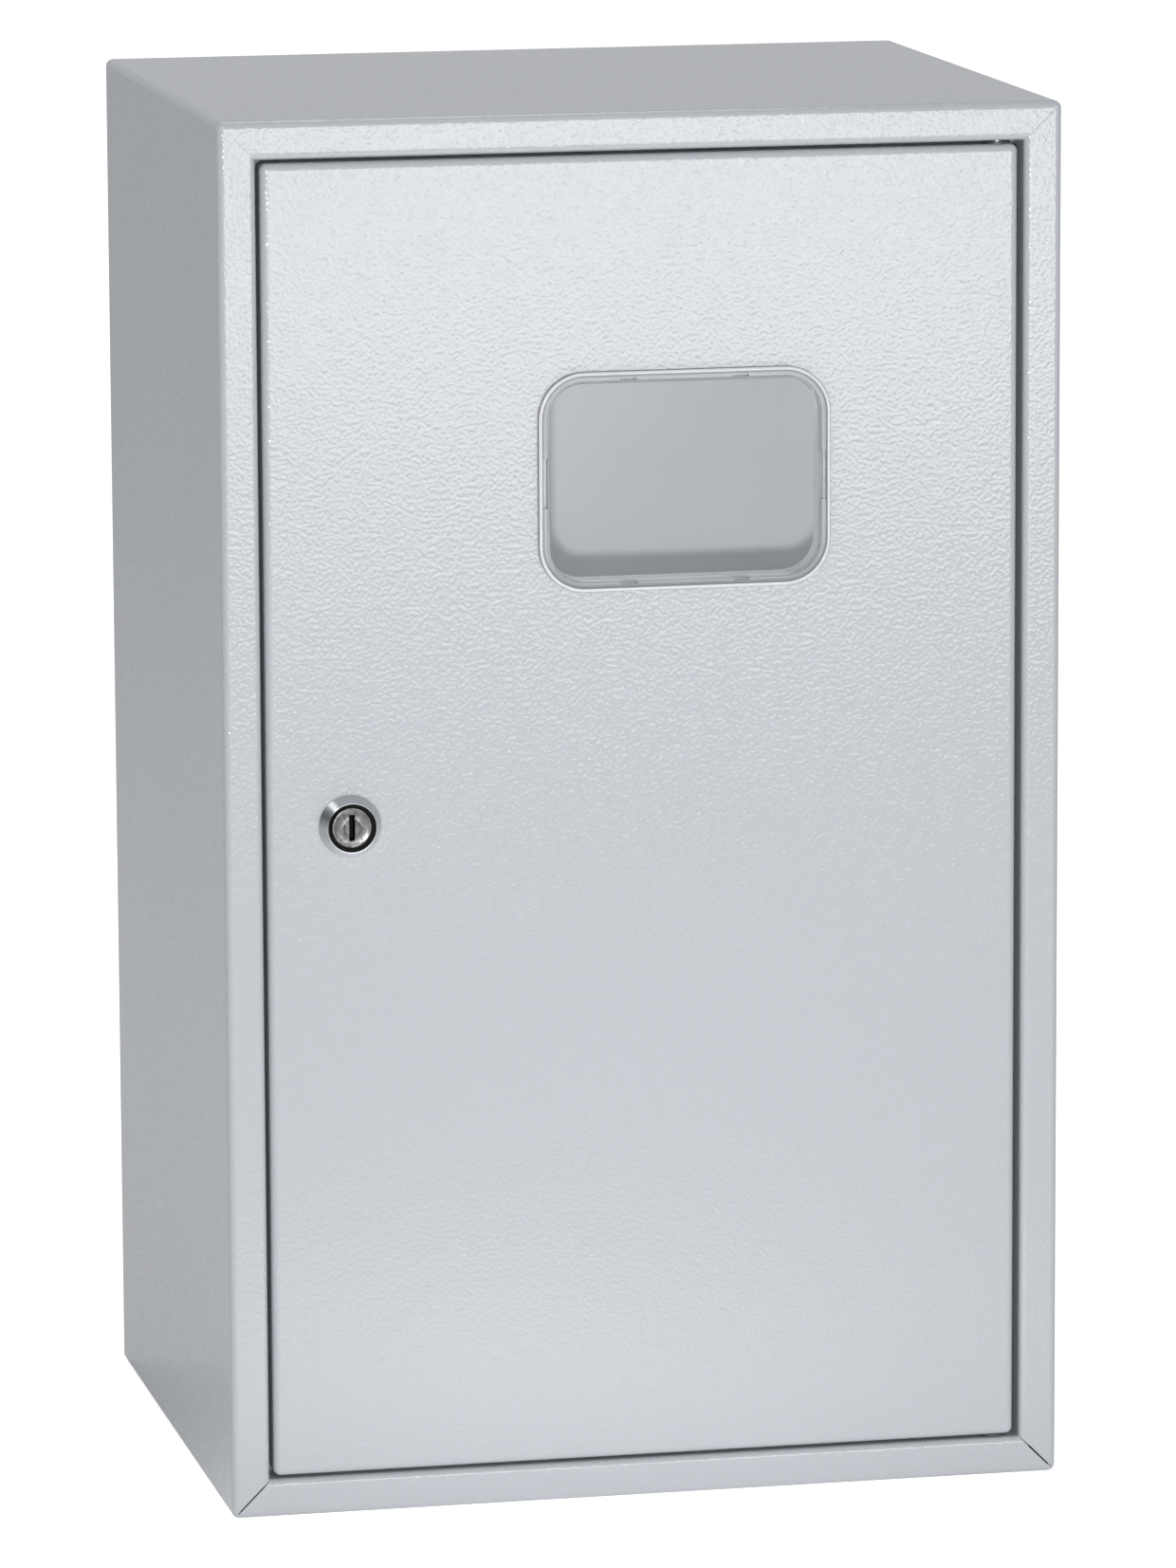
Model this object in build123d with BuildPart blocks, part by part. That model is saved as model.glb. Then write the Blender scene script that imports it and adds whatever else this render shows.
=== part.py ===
"""Wall-mounted sheet-steel meter cabinet with a flush hinged door, a snap-in window and a cam lock.

Millimetres. +X is to the right and +Z up for someone facing the door, and +Y runs back to the wall.
The origin is the centre of the four wall holes, on the face that lies against the wall.
"""

import os
from math import sqrt

from build123d import *

# Overall sheet-metal body
WIDTH = 310.0
HEIGHT = 510.0
DEPTH = 250.0
SHEET = 1.5
BEND_INNER = 1.2
BEND_OUTER = BEND_INNER + SHEET
BEND_MIDDLE = BEND_INNER + SHEET / 2

# Front frame: mitred flange, rebate for the door and stop lip behind it
FLANGE = 14.0
REBATE = 16.5
STOP_LIP = 17.0
SEAM_WIDTH = 0.6
SEAM_WELD_DEPTH = 0.3
OPENING_WIDTH = WIDTH - 2 * FLANGE
OPENING_HEIGHT = HEIGHT - 2 * FLANGE

# Back panel, a shallow pan welded inside the wrap, with the wall holes
BACK_FLANGE = 12.0
WELD_GAP = 0.1
WALL_HOLE_RADIUS = 4.5
WALL_HOLE_MARGIN = 25.0
WALL_HOLES_X = WIDTH - 2 * WALL_HOLE_MARGIN
WALL_HOLES_Z = HEIGHT - 2 * WALL_HOLE_MARGIN

# Door pan and its foam seal
LATCH_GAP = 1.5
HINGE_GAP = 2.4
END_GAP = 1.2
DOOR_LIP = 13.0
LIP_RELIEF = 1.0
SEAL_INSET = 6.5
SEAL_WIDTH = 6.0
SEAL_THICKNESS = 3.2
SEAL_CLEARANCE = 0.3
DOOR_WIDTH = OPENING_WIDTH - LATCH_GAP - HINGE_GAP
DOOR_HEIGHT = OPENING_HEIGHT - 2 * END_GAP
DOOR_DEPTH = REBATE - SEAL_THICKNESS - SEAL_CLEARANCE
DOOR_X = (LATCH_GAP - HINGE_GAP) / 2
DOOR_LATCH_EDGE = DOOR_X - DOOR_WIDTH / 2
DOOR_HINGE_EDGE = DOOR_X + DOOR_WIDTH / 2

# Concealed pin hinges at the door's ends
HINGE_INSET = 6.5
PIN_RADIUS = 2.5
PIN_HEAD_RADIUS = 4.5
PIN_HEAD_HEIGHT = 2.0
PIN_ENGAGEMENT = 8.5
PIN_TIP_CHAMFER = 0.6
BUSH_WALL = 0.9
BUSH_FLANGE_RADIUS = 5.0
BUSH_LENGTH = 7.0
HINGE_END_CLEARANCE = 0.4
HINGE_PLATE_LENGTH = 30.0
HINGE_PLATE_WIDTH = 11.0
HINGE_PLATE_THICKNESS = 3.0
HINGE_PLATE_CORNER = 2.0
RUNNING_CLEARANCE = 0.08
FIXED_CLEARANCE = 0.05
BUSH_RADIUS = PIN_RADIUS + RUNNING_CLEARANCE + BUSH_WALL
BUSH_FLANGE = END_GAP - HINGE_END_CLEARANCE
PIVOT_X = DOOR_HINGE_EDGE - HINGE_INSET
PIVOT_Y = -DEPTH + DOOR_DEPTH / 2
RETURN_MIDDLE_Y = -DEPTH + (REBATE + SHEET) / 2

# Snap-in window moulding
WINDOW_WIDTH = 108.0
WINDOW_HEIGHT = 80.0
WINDOW_CORNER = 17.0
WINDOW_DROP = 93.0
WINDOW_SHIFT = 14.5
RIM_WIDTH = 4.2
RIM_HEIGHT = 2.0
RIM_CHAMFER = 0.8
RIM_OVERLAP = 2.6
PANE_RECESS = 0.6
SKIRT_WALL = 1.6
SKIRT_DEPTH = 7.5
SKIRT_CLEARANCE = 0.2
SIDE_HOOK_WIDTH = 18.0
END_HOOK_WIDTH = 6.0
END_HOOK_SPACING = 41.5
HOOK_REACH = 0.9
HOOK_LENGTH = 3.0
HOOK_CLEARANCE = 0.1
SNAP_SLOT_WIDTH = 1.4
SNAP_SLOT_INSET = 3.0
WINDOW_Z = HEIGHT / 2 - WINDOW_DROP - WINDOW_HEIGHT / 2
CUTOUT_WIDTH = WINDOW_WIDTH - 2 * RIM_OVERLAP
CUTOUT_HEIGHT = WINDOW_HEIGHT - 2 * RIM_OVERLAP
CUTOUT_CORNER = WINDOW_CORNER - RIM_OVERLAP
SKIRT_WIDTH = CUTOUT_WIDTH - 2 * SKIRT_CLEARANCE
SKIRT_HEIGHT = CUTOUT_HEIGHT - 2 * SKIRT_CLEARANCE
SKIRT_CORNER = CUTOUT_CORNER - SKIRT_CLEARANCE

# Cam lock
LOCK_INSET = 30.2
LOCK_Z = 0.0
ROSETTE_RADIUS = 11.4
ROSETTE_EDGE = 0.9
ROSETTE_HEIGHT = 5.0
ROSETTE_TOP_RADIUS = 9.3
ROSETTE_CHAMFER = 0.3
COLLAR_RADIUS = 8.7
COLLAR_DEPTH = 2.4
PLUG_RADIUS = 7.4
PLUG_RECESS = 0.8
PLUG_HEAD_LENGTH = 7.0
PLUG_CLEARANCE = 0.1
PLUG_SHAFT_RADIUS = 6.0
PLUG_END_PLAY = 0.4
LOCK_BODY_RADIUS = 9.0
LOCK_FLATS = 16.0
KEYWAY_HEIGHT = 9.4
KEYWAY_WIDTH = 2.1
KEYWAY_DEPTH = 5.0
KEY_GUIDE_RADIUS = 2.7
KEY_GUIDE_HEIGHT = 0.4
CAM_THICKNESS = 2.0
CAM_GAP = 0.4
CAM_REACH = 21.0
CAM_HUB_RADIUS = 9.0
CAM_TIP_RADIUS = 7.0
CAM_SQUARE = 8.0
CAM_SCREW_RADIUS = 2.5
CAM_SCREW_ACROSS = 8.0
CAM_SCREW_HEAD = 3.5
CAM_SCREW_DEPTH = 7.0
CAM_WASHER_RADIUS = 7.0
CAM_WASHER_THICKNESS = 1.2
LOCK_NUT_ACROSS = 22.0
LOCK_NUT_HEIGHT = 4.0
LOCK_WASHER_RADIUS = 11.5
LOCK_WASHER_THICKNESS = 1.0
LOCK_X = DOOR_LATCH_EDGE + LOCK_INSET
CAM_FRONT = REBATE + SHEET + CAM_GAP
LOCK_BODY_LENGTH = CAM_FRONT - PLUG_END_PLAY

# Mounting plate on studs, and the stud, nut and washer sizes used all through
PLATE_SIDE_MARGIN = 37.0
PLATE_END_MARGIN = 35.0
PLATE_THICKNESS = 2.0
PLATE_CORNER = 4.0
PLATE_STANDOFF = 20.0
STUD_INSET = 15.0
STUD_RADIUS = 3.0
STUD_PROUD = 3.0
SPACER_RADIUS = 6.0
NUT_ACROSS = 10.0
NUT_HEIGHT = 5.0
WASHER_RADIUS = 6.0
WASHER_THICKNESS = 1.6
HOLE_CLEARANCE = 0.3
PLATE_WIDTH = WIDTH - 2 * PLATE_SIDE_MARGIN
PLATE_HEIGHT = HEIGHT - 2 * PLATE_END_MARGIN
STUDS_X = PLATE_WIDTH - 2 * STUD_INSET
STUDS_Z = PLATE_HEIGHT - 2 * STUD_INSET
PLATE_FRONT = SHEET + PLATE_STANDOFF + PLATE_THICKNESS

# Cable-entry plate in the floor
ENTRY_WIDTH = 200.0
ENTRY_DEPTH = 100.0
ENTRY_CORNER = 6.0
ENTRY_OVERLAP = 12.0
ENTRY_SEAL = 2.0
ENTRY_SEAL_MARGIN = 1.0
ENTRY_STUD_INSET = 6.0
ENTRY_STUD_RADIUS = 2.5
ENTRY_STUD_PROUD = 2.0
ENTRY_NUT_ACROSS = 8.0
ENTRY_NUT_HEIGHT = 4.0
ENTRY_Y = -DEPTH / 2
ENTRY_PLATE_WIDTH = ENTRY_WIDTH + 2 * ENTRY_OVERLAP
ENTRY_PLATE_DEPTH = ENTRY_DEPTH + 2 * ENTRY_OVERLAP
ENTRY_STUDS_X = ENTRY_PLATE_WIDTH - 2 * ENTRY_STUD_INSET
ENTRY_STUDS_Y = ENTRY_PLATE_DEPTH - 2 * ENTRY_STUD_INSET
FLOOR_TOP = -HEIGHT / 2 + SHEET

# Earth studs on the back panel and on the door
EARTH_SHIFT = 60.0
EARTH_RISE = 18.0
DOOR_EARTH_INSET = 27.0
DOOR_EARTH_RISE = 40.0


def behind_front(distance: float) -> Plane:
    """Plane that faces the viewer, at a distance behind the cabinet's front face."""
    return Plane.XZ.offset(DEPTH - distance)


def off_wall(distance: float) -> Plane:
    """Plane that faces the viewer, at a distance in front of the wall."""
    return Plane.XZ.offset(distance)


def frame_ring(width: float, height: float, band: float) -> None:
    """Adds a flat rectangular ring to the current sketch."""
    Rectangle(width, height)
    Rectangle(width - 2 * band, height - 2 * band, mode=Mode.SUBTRACT)


def hexagon_ring(across: float, hole_radius: float) -> None:
    """Adds a nut's section to the current sketch."""
    RegularPolygon(across / 2, 6, major_radius=False)
    Circle(hole_radius, mode=Mode.SUBTRACT)


def round_ring(radius: float, hole_radius: float) -> None:
    """Adds a washer's section to the current sketch."""
    Circle(radius)
    Circle(hole_radius, mode=Mode.SUBTRACT)


pieces = {}

# Housing wrap: four walls and the mitred front frame, folded from sheet
with BuildPart() as housing_wrap:
    with BuildSketch(behind_front(0)):
        Rectangle(WIDTH, HEIGHT)
    extrude(amount=-DEPTH)
    fillet(edges().group_by(Axis.Y)[0] + edges().filter_by(Axis.Y), BEND_OUTER)
    offset(amount=-SHEET, openings=faces().sort_by(Axis.Y)[-1])
    with BuildSketch(behind_front(0)):
        Rectangle(OPENING_WIDTH + 2 * BEND_OUTER, OPENING_HEIGHT + 2 * BEND_OUTER)
    extrude(amount=-SHEET, mode=Mode.SUBTRACT)

    # The flange turns back into the rebate and then inwards as the stop lip, all round the opening
    with BuildLine(behind_front(0)) as opening_edge:
        Polyline(
            (0, -OPENING_HEIGHT / 2),
            (OPENING_WIDTH / 2, -OPENING_HEIGHT / 2),
            (OPENING_WIDTH / 2, OPENING_HEIGHT / 2),
            (-OPENING_WIDTH / 2, OPENING_HEIGHT / 2),
            (-OPENING_WIDTH / 2, -OPENING_HEIGHT / 2),
            (0, -OPENING_HEIGHT / 2),
        )
    with BuildSketch(Plane((0, -DEPTH, -OPENING_HEIGHT / 2), x_dir=(0, 0, -1), z_dir=(1, 0, 0))):
        with BuildLine():
            FilletPolyline(
                (BEND_OUTER, SHEET / 2),
                (SHEET / 2, SHEET / 2),
                (SHEET / 2, REBATE + SHEET / 2),
                (-STOP_LIP, REBATE + SHEET / 2),
                radius=BEND_MIDDLE,
            )
        trace(line_width=SHEET)
    sweep(path=opening_edge.wires()[0], transition=Transition.RIGHT)

    # Mitre seams: open slits at the foot, shallow ground welds at the top
    for seam_depth, rise in ((SHEET, -1), (SEAM_WELD_DEPTH, 1)):
        with BuildSketch(behind_front(0)):
            for side in (-1, 1):
                seam_x = side * (WIDTH / 2 - (FLANGE + BEND_OUTER) / 2)
                seam_z = rise * (HEIGHT / 2 - (FLANGE + BEND_OUTER) / 2)
                with Locations((seam_x, seam_z)):
                    Rectangle((FLANGE - BEND_INNER) * sqrt(2), SEAM_WIDTH, rotation=45 * side * rise)
        extrude(amount=-seam_depth, mode=Mode.SUBTRACT)

    # Hinge-pin holes through the top and bottom of the rebate
    with BuildSketch(Plane.XY):
        with Locations((PIVOT_X, PIVOT_Y)):
            Circle(PIN_RADIUS + FIXED_CLEARANCE)
    extrude(amount=OPENING_HEIGHT / 2 + SHEET, both=True, mode=Mode.SUBTRACT)

    # Cable entry in the floor
    with BuildSketch(Plane.XY.offset(FLOOR_TOP)):
        with Locations((0, ENTRY_Y)):
            RectangleRounded(ENTRY_WIDTH, ENTRY_DEPTH, ENTRY_CORNER)
    extrude(amount=-SHEET, mode=Mode.SUBTRACT)
pieces["housing_wrap"] = housing_wrap

# Back panel: a pan that slides into the wrap with its flanges forward
with BuildPart() as back_panel:
    with BuildSketch(off_wall(0)):
        Rectangle(WIDTH - 2 * (SHEET + WELD_GAP), HEIGHT - 2 * (SHEET + WELD_GAP))
    extrude(amount=BACK_FLANGE)
    fillet(edges().group_by(Axis.Y)[-1] + edges().filter_by(Axis.Y), BEND_OUTER)
    offset(amount=-SHEET, openings=faces().sort_by(Axis.Y)[0])
    with BuildSketch(off_wall(0)):
        with GridLocations(WALL_HOLES_X, WALL_HOLES_Z, 2, 2):
            Circle(WALL_HOLE_RADIUS)
    extrude(amount=SHEET, mode=Mode.SUBTRACT)
pieces["back_panel"] = back_panel

# Mounting plate with its studs, spacers, washers and nuts
with BuildPart() as mounting_plate:
    with BuildSketch(off_wall(SHEET + PLATE_STANDOFF)):
        RectangleRounded(PLATE_WIDTH, PLATE_HEIGHT, PLATE_CORNER)
        with GridLocations(STUDS_X, STUDS_Z, 2, 2):
            Circle(STUD_RADIUS + HOLE_CLEARANCE, mode=Mode.SUBTRACT)
    extrude(amount=PLATE_THICKNESS)
pieces["mounting_plate"] = mounting_plate

with BuildPart() as plate_studs:
    with BuildSketch(off_wall(SHEET)):
        with GridLocations(STUDS_X, STUDS_Z, 2, 2):
            Circle(STUD_RADIUS)
    extrude(amount=PLATE_STANDOFF + PLATE_THICKNESS + WASHER_THICKNESS + NUT_HEIGHT + STUD_PROUD)
pieces["plate_studs"] = plate_studs

with BuildPart() as plate_spacers:
    with BuildSketch(off_wall(SHEET)):
        with GridLocations(STUDS_X, STUDS_Z, 2, 2):
            round_ring(SPACER_RADIUS, STUD_RADIUS + HOLE_CLEARANCE)
    extrude(amount=PLATE_STANDOFF)
pieces["plate_spacers"] = plate_spacers

with BuildPart() as plate_washers:
    with BuildSketch(off_wall(PLATE_FRONT)):
        with GridLocations(STUDS_X, STUDS_Z, 2, 2):
            round_ring(WASHER_RADIUS, STUD_RADIUS + HOLE_CLEARANCE)
    extrude(amount=WASHER_THICKNESS)
pieces["plate_washers"] = plate_washers

with BuildPart() as plate_nuts:
    with BuildSketch(off_wall(PLATE_FRONT + WASHER_THICKNESS)):
        with GridLocations(STUDS_X, STUDS_Z, 2, 2):
            hexagon_ring(NUT_ACROSS, STUD_RADIUS + FIXED_CLEARANCE)
    extrude(amount=NUT_HEIGHT)
pieces["plate_nuts"] = plate_nuts

# Cable-entry plate, clamped from inside over a seal
with BuildPart() as entry_seal:
    with BuildSketch(Plane.XY.offset(FLOOR_TOP)):
        with Locations((0, ENTRY_Y)):
            seal_band = ENTRY_OVERLAP - ENTRY_SEAL_MARGIN
            frame_ring(ENTRY_PLATE_WIDTH, ENTRY_PLATE_DEPTH, seal_band)
            with GridLocations(ENTRY_STUDS_X, ENTRY_STUDS_Y, 2, 2):
                Circle(ENTRY_STUD_RADIUS + HOLE_CLEARANCE, mode=Mode.SUBTRACT)
    extrude(amount=ENTRY_SEAL)
pieces["entry_seal"] = entry_seal

with BuildPart() as entry_plate:
    with BuildSketch(Plane.XY.offset(FLOOR_TOP + ENTRY_SEAL)):
        with Locations((0, ENTRY_Y)):
            RectangleRounded(ENTRY_PLATE_WIDTH, ENTRY_PLATE_DEPTH, ENTRY_CORNER)
            with GridLocations(ENTRY_STUDS_X, ENTRY_STUDS_Y, 2, 2):
                Circle(ENTRY_STUD_RADIUS + HOLE_CLEARANCE, mode=Mode.SUBTRACT)
    extrude(amount=SHEET)
pieces["entry_plate"] = entry_plate

with BuildPart() as entry_studs:
    with BuildSketch(Plane.XY.offset(FLOOR_TOP)):
        with Locations((0, ENTRY_Y)):
            with GridLocations(ENTRY_STUDS_X, ENTRY_STUDS_Y, 2, 2):
                Circle(ENTRY_STUD_RADIUS)
    extrude(amount=ENTRY_SEAL + SHEET + ENTRY_NUT_HEIGHT + ENTRY_STUD_PROUD)
pieces["entry_studs"] = entry_studs

with BuildPart() as entry_nuts:
    with BuildSketch(Plane.XY.offset(FLOOR_TOP + ENTRY_SEAL + SHEET)):
        with Locations((0, ENTRY_Y)):
            with GridLocations(ENTRY_STUDS_X, ENTRY_STUDS_Y, 2, 2):
                hexagon_ring(ENTRY_NUT_ACROSS, ENTRY_STUD_RADIUS + FIXED_CLEARANCE)
    extrude(amount=ENTRY_NUT_HEIGHT)
pieces["entry_nuts"] = entry_nuts

# Earth studs: the cabinet's points forward from the back panel, the door's points back from its skin
EARTH_X, EARTH_Z = EARTH_SHIFT, -HEIGHT / 2 + EARTH_RISE
DOOR_EARTH_X, DOOR_EARTH_Z = DOOR_HINGE_EDGE - DOOR_EARTH_INSET, -DOOR_HEIGHT / 2 + DOOR_EARTH_RISE
for owner, x, z, seat, outward in (
    ("", EARTH_X, EARTH_Z, off_wall(SHEET), 1),
    ("door_", DOOR_EARTH_X, DOOR_EARTH_Z, behind_front(SHEET), -1),
):
    with BuildPart() as earth_stud:
        with BuildSketch(seat):
            with Locations((x, z)):
                Circle(STUD_RADIUS)
        extrude(amount=outward * (WASHER_THICKNESS + NUT_HEIGHT + STUD_PROUD))
    pieces[f"{owner}earth_stud"] = earth_stud

    with BuildPart() as earth_washer:
        with BuildSketch(seat):
            with Locations((x, z)):
                round_ring(WASHER_RADIUS, STUD_RADIUS + HOLE_CLEARANCE)
        extrude(amount=outward * WASHER_THICKNESS)
    pieces[f"{owner}earth_washer"] = earth_washer

    with BuildPart() as earth_nut:
        with BuildSketch(seat.offset(outward * WASHER_THICKNESS)):
            with Locations((x, z)):
                hexagon_ring(NUT_ACROSS, STUD_RADIUS + FIXED_CLEARANCE)
        extrude(amount=outward * NUT_HEIGHT)
    pieces[f"{owner}earth_nut"] = earth_nut

# Door panel: a pan folded twice along every edge, with the window and lock cut-outs
with BuildPart() as door_panel:
    with BuildSketch(behind_front(0)):
        with Locations((DOOR_X, 0)):
            Rectangle(DOOR_WIDTH, DOOR_HEIGHT)
    extrude(amount=-DOOR_DEPTH)
    fillet(edges(), BEND_OUTER)
    offset(amount=-SHEET, mode=Mode.SUBTRACT)
    with BuildSketch(behind_front(DOOR_DEPTH)):
        with Locations((DOOR_X, 0)):
            Rectangle(DOOR_WIDTH - 2 * DOOR_LIP, DOOR_HEIGHT - 2 * DOOR_LIP)
            for side in (-1, 1):
                for rise in (-1, 1):
                    relief_x = side * (DOOR_WIDTH - DOOR_LIP) / 2
                    relief_z = rise * (DOOR_HEIGHT - DOOR_LIP) / 2
                    with Locations((relief_x, relief_z)):
                        Rectangle((DOOR_LIP + LIP_RELIEF) * sqrt(2), LIP_RELIEF, rotation=45 * side * rise)
    extrude(amount=SHEET, mode=Mode.SUBTRACT)
    with BuildSketch(behind_front(0)):
        with Locations((WINDOW_SHIFT, WINDOW_Z)):
            RectangleRounded(CUTOUT_WIDTH, CUTOUT_HEIGHT, CUTOUT_CORNER)
        with BuildSketch(mode=Mode.PRIVATE) as lock_hole:
            with Locations((LOCK_X, LOCK_Z)):
                Circle(LOCK_BODY_RADIUS + HOLE_CLEARANCE)
                hole_width = 2 * (LOCK_BODY_RADIUS + HOLE_CLEARANCE)
                Rectangle(hole_width, LOCK_FLATS + 2 * HOLE_CLEARANCE, mode=Mode.INTERSECT)
        add(lock_hole.sketch)
    extrude(amount=-SHEET, mode=Mode.SUBTRACT)
    with BuildSketch(Plane.XY):
        with Locations((PIVOT_X, PIVOT_Y)):
            Circle(BUSH_RADIUS + FIXED_CLEARANCE)
    extrude(amount=DOOR_HEIGHT / 2, both=True, mode=Mode.SUBTRACT)
pieces["door_panel"] = door_panel

# Foam seal on the door's inner lips
with BuildPart() as door_seal:
    with BuildSketch(behind_front(DOOR_DEPTH)):
        with Locations((DOOR_X, 0)):
            frame_ring(DOOR_WIDTH - 2 * SEAL_INSET, DOOR_HEIGHT - 2 * SEAL_INSET, SEAL_WIDTH)
    extrude(amount=-SEAL_THICKNESS)
pieces["door_seal"] = door_seal

# Hinges: a backing plate and pin in the frame, and a flanged bush in the door, at each end
for end, up in (("upper", 1), ("lower", -1)):
    with BuildPart() as hinge_plate:
        with BuildSketch(Plane.XY.offset(up * (OPENING_HEIGHT / 2 + SHEET))):
            with Locations((PIVOT_X, RETURN_MIDDLE_Y)):
                RectangleRounded(HINGE_PLATE_LENGTH, HINGE_PLATE_WIDTH, HINGE_PLATE_CORNER)
            with Locations((PIVOT_X, PIVOT_Y)):
                Circle(PIN_RADIUS + FIXED_CLEARANCE, mode=Mode.SUBTRACT)
        extrude(amount=up * HINGE_PLATE_THICKNESS)
    pieces[f"hinge_plate_{end}"] = hinge_plate

    with BuildPart() as hinge_pin:
        head_seat = OPENING_HEIGHT / 2 + SHEET + HINGE_PLATE_THICKNESS
        tip = DOOR_HEIGHT / 2 - PIN_ENGAGEMENT
        with BuildSketch(Plane.XY.offset(up * tip)):
            with Locations((PIVOT_X, PIVOT_Y)):
                Circle(PIN_RADIUS)
        extrude(amount=up * (head_seat - tip))
        chamfer(edges().sort_by(Axis.Z, reverse=up < 0)[0], PIN_TIP_CHAMFER)
        with BuildSketch(Plane.XY.offset(up * head_seat)):
            with Locations((PIVOT_X, PIVOT_Y)):
                Circle(PIN_HEAD_RADIUS)
        extrude(amount=up * PIN_HEAD_HEIGHT)
    pieces[f"hinge_pin_{end}"] = hinge_pin

    with BuildPart() as hinge_bush:
        bush_bore = PIN_RADIUS + RUNNING_CLEARANCE
        with BuildSketch(Plane.XY.offset(up * DOOR_HEIGHT / 2)):
            with Locations((PIVOT_X, PIVOT_Y)):
                round_ring(BUSH_FLANGE_RADIUS, bush_bore)
        extrude(amount=up * BUSH_FLANGE)
        with BuildSketch(Plane.XY.offset(up * DOOR_HEIGHT / 2)):
            with Locations((PIVOT_X, PIVOT_Y)):
                round_ring(BUSH_RADIUS, bush_bore)
        extrude(amount=-up * BUSH_LENGTH)
    pieces[f"hinge_bush_{end}"] = hinge_bush

# Window: one clear moulding with a rim on the door, a pane inside it, and a skirt with snap hooks behind
with BuildPart() as window_pane:
    with BuildSketch(behind_front(0)):
        with Locations((WINDOW_SHIFT, WINDOW_Z)):
            RectangleRounded(WINDOW_WIDTH, WINDOW_HEIGHT, WINDOW_CORNER)
    extrude(amount=RIM_HEIGHT)
    with BuildSketch(behind_front(-RIM_HEIGHT)):
        with Locations((WINDOW_SHIFT, WINDOW_Z)):
            RectangleRounded(
                WINDOW_WIDTH - 2 * RIM_WIDTH, WINDOW_HEIGHT - 2 * RIM_WIDTH, WINDOW_CORNER - RIM_WIDTH
            )
    extrude(amount=-PANE_RECESS, mode=Mode.SUBTRACT)
    rim_edges = faces().sort_by(Axis.Y)[0].outer_wire().edges()
    chamfer(rim_edges, RIM_CHAMFER)
    with BuildSketch(behind_front(0)):
        with Locations((WINDOW_SHIFT, WINDOW_Z)):
            RectangleRounded(SKIRT_WIDTH, SKIRT_HEIGHT, SKIRT_CORNER)
            RectangleRounded(
                SKIRT_WIDTH - 2 * SKIRT_WALL,
                SKIRT_HEIGHT - 2 * SKIRT_WALL,
                SKIRT_CORNER - SKIRT_WALL,
                mode=Mode.SUBTRACT,
            )
    extrude(amount=-SKIRT_DEPTH)

    # Barbs that catch behind the door's skin: a long one at each side, two short ones at the top and bottom
    barb_top = SHEET + HOOK_CLEARANCE
    for side in (-1, 1):
        side_root = Plane(
            (WINDOW_SHIFT + side * SKIRT_WIDTH / 2, -DEPTH, WINDOW_Z),
            x_dir=(side, 0, 0),
            z_dir=(0, 0, side),
        )
        with BuildSketch(side_root):
            with BuildLine():
                Polyline((0, barb_top), (HOOK_REACH, barb_top), (0, barb_top + HOOK_LENGTH), close=True)
            make_face()
        extrude(amount=SIDE_HOOK_WIDTH / 2, both=True)
        for shift in (-1, 1):
            end_root = Plane(
                (WINDOW_SHIFT + shift * END_HOOK_SPACING / 2, -DEPTH, WINDOW_Z + side * SKIRT_HEIGHT / 2),
                x_dir=(0, 0, side),
                z_dir=(-side, 0, 0),
            )
            with BuildSketch(end_root):
                with BuildLine():
                    Polyline((0, barb_top), (HOOK_REACH, barb_top), (0, barb_top + HOOK_LENGTH), close=True)
                make_face()
            extrude(amount=END_HOOK_WIDTH / 2, both=True)

    # Slots in front of the long barbs, where the mould's core forms them
    with BuildSketch(behind_front(-RIM_HEIGHT)):
        with Locations((WINDOW_SHIFT, WINDOW_Z)):
            with GridLocations(WINDOW_WIDTH - 2 * SNAP_SLOT_INSET, 1, 2, 1):
                Rectangle(SNAP_SLOT_WIDTH, SIDE_HOOK_WIDTH)
    extrude(amount=-(RIM_HEIGHT + SHEET), mode=Mode.SUBTRACT)
pieces["window_pane"] = window_pane

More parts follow.
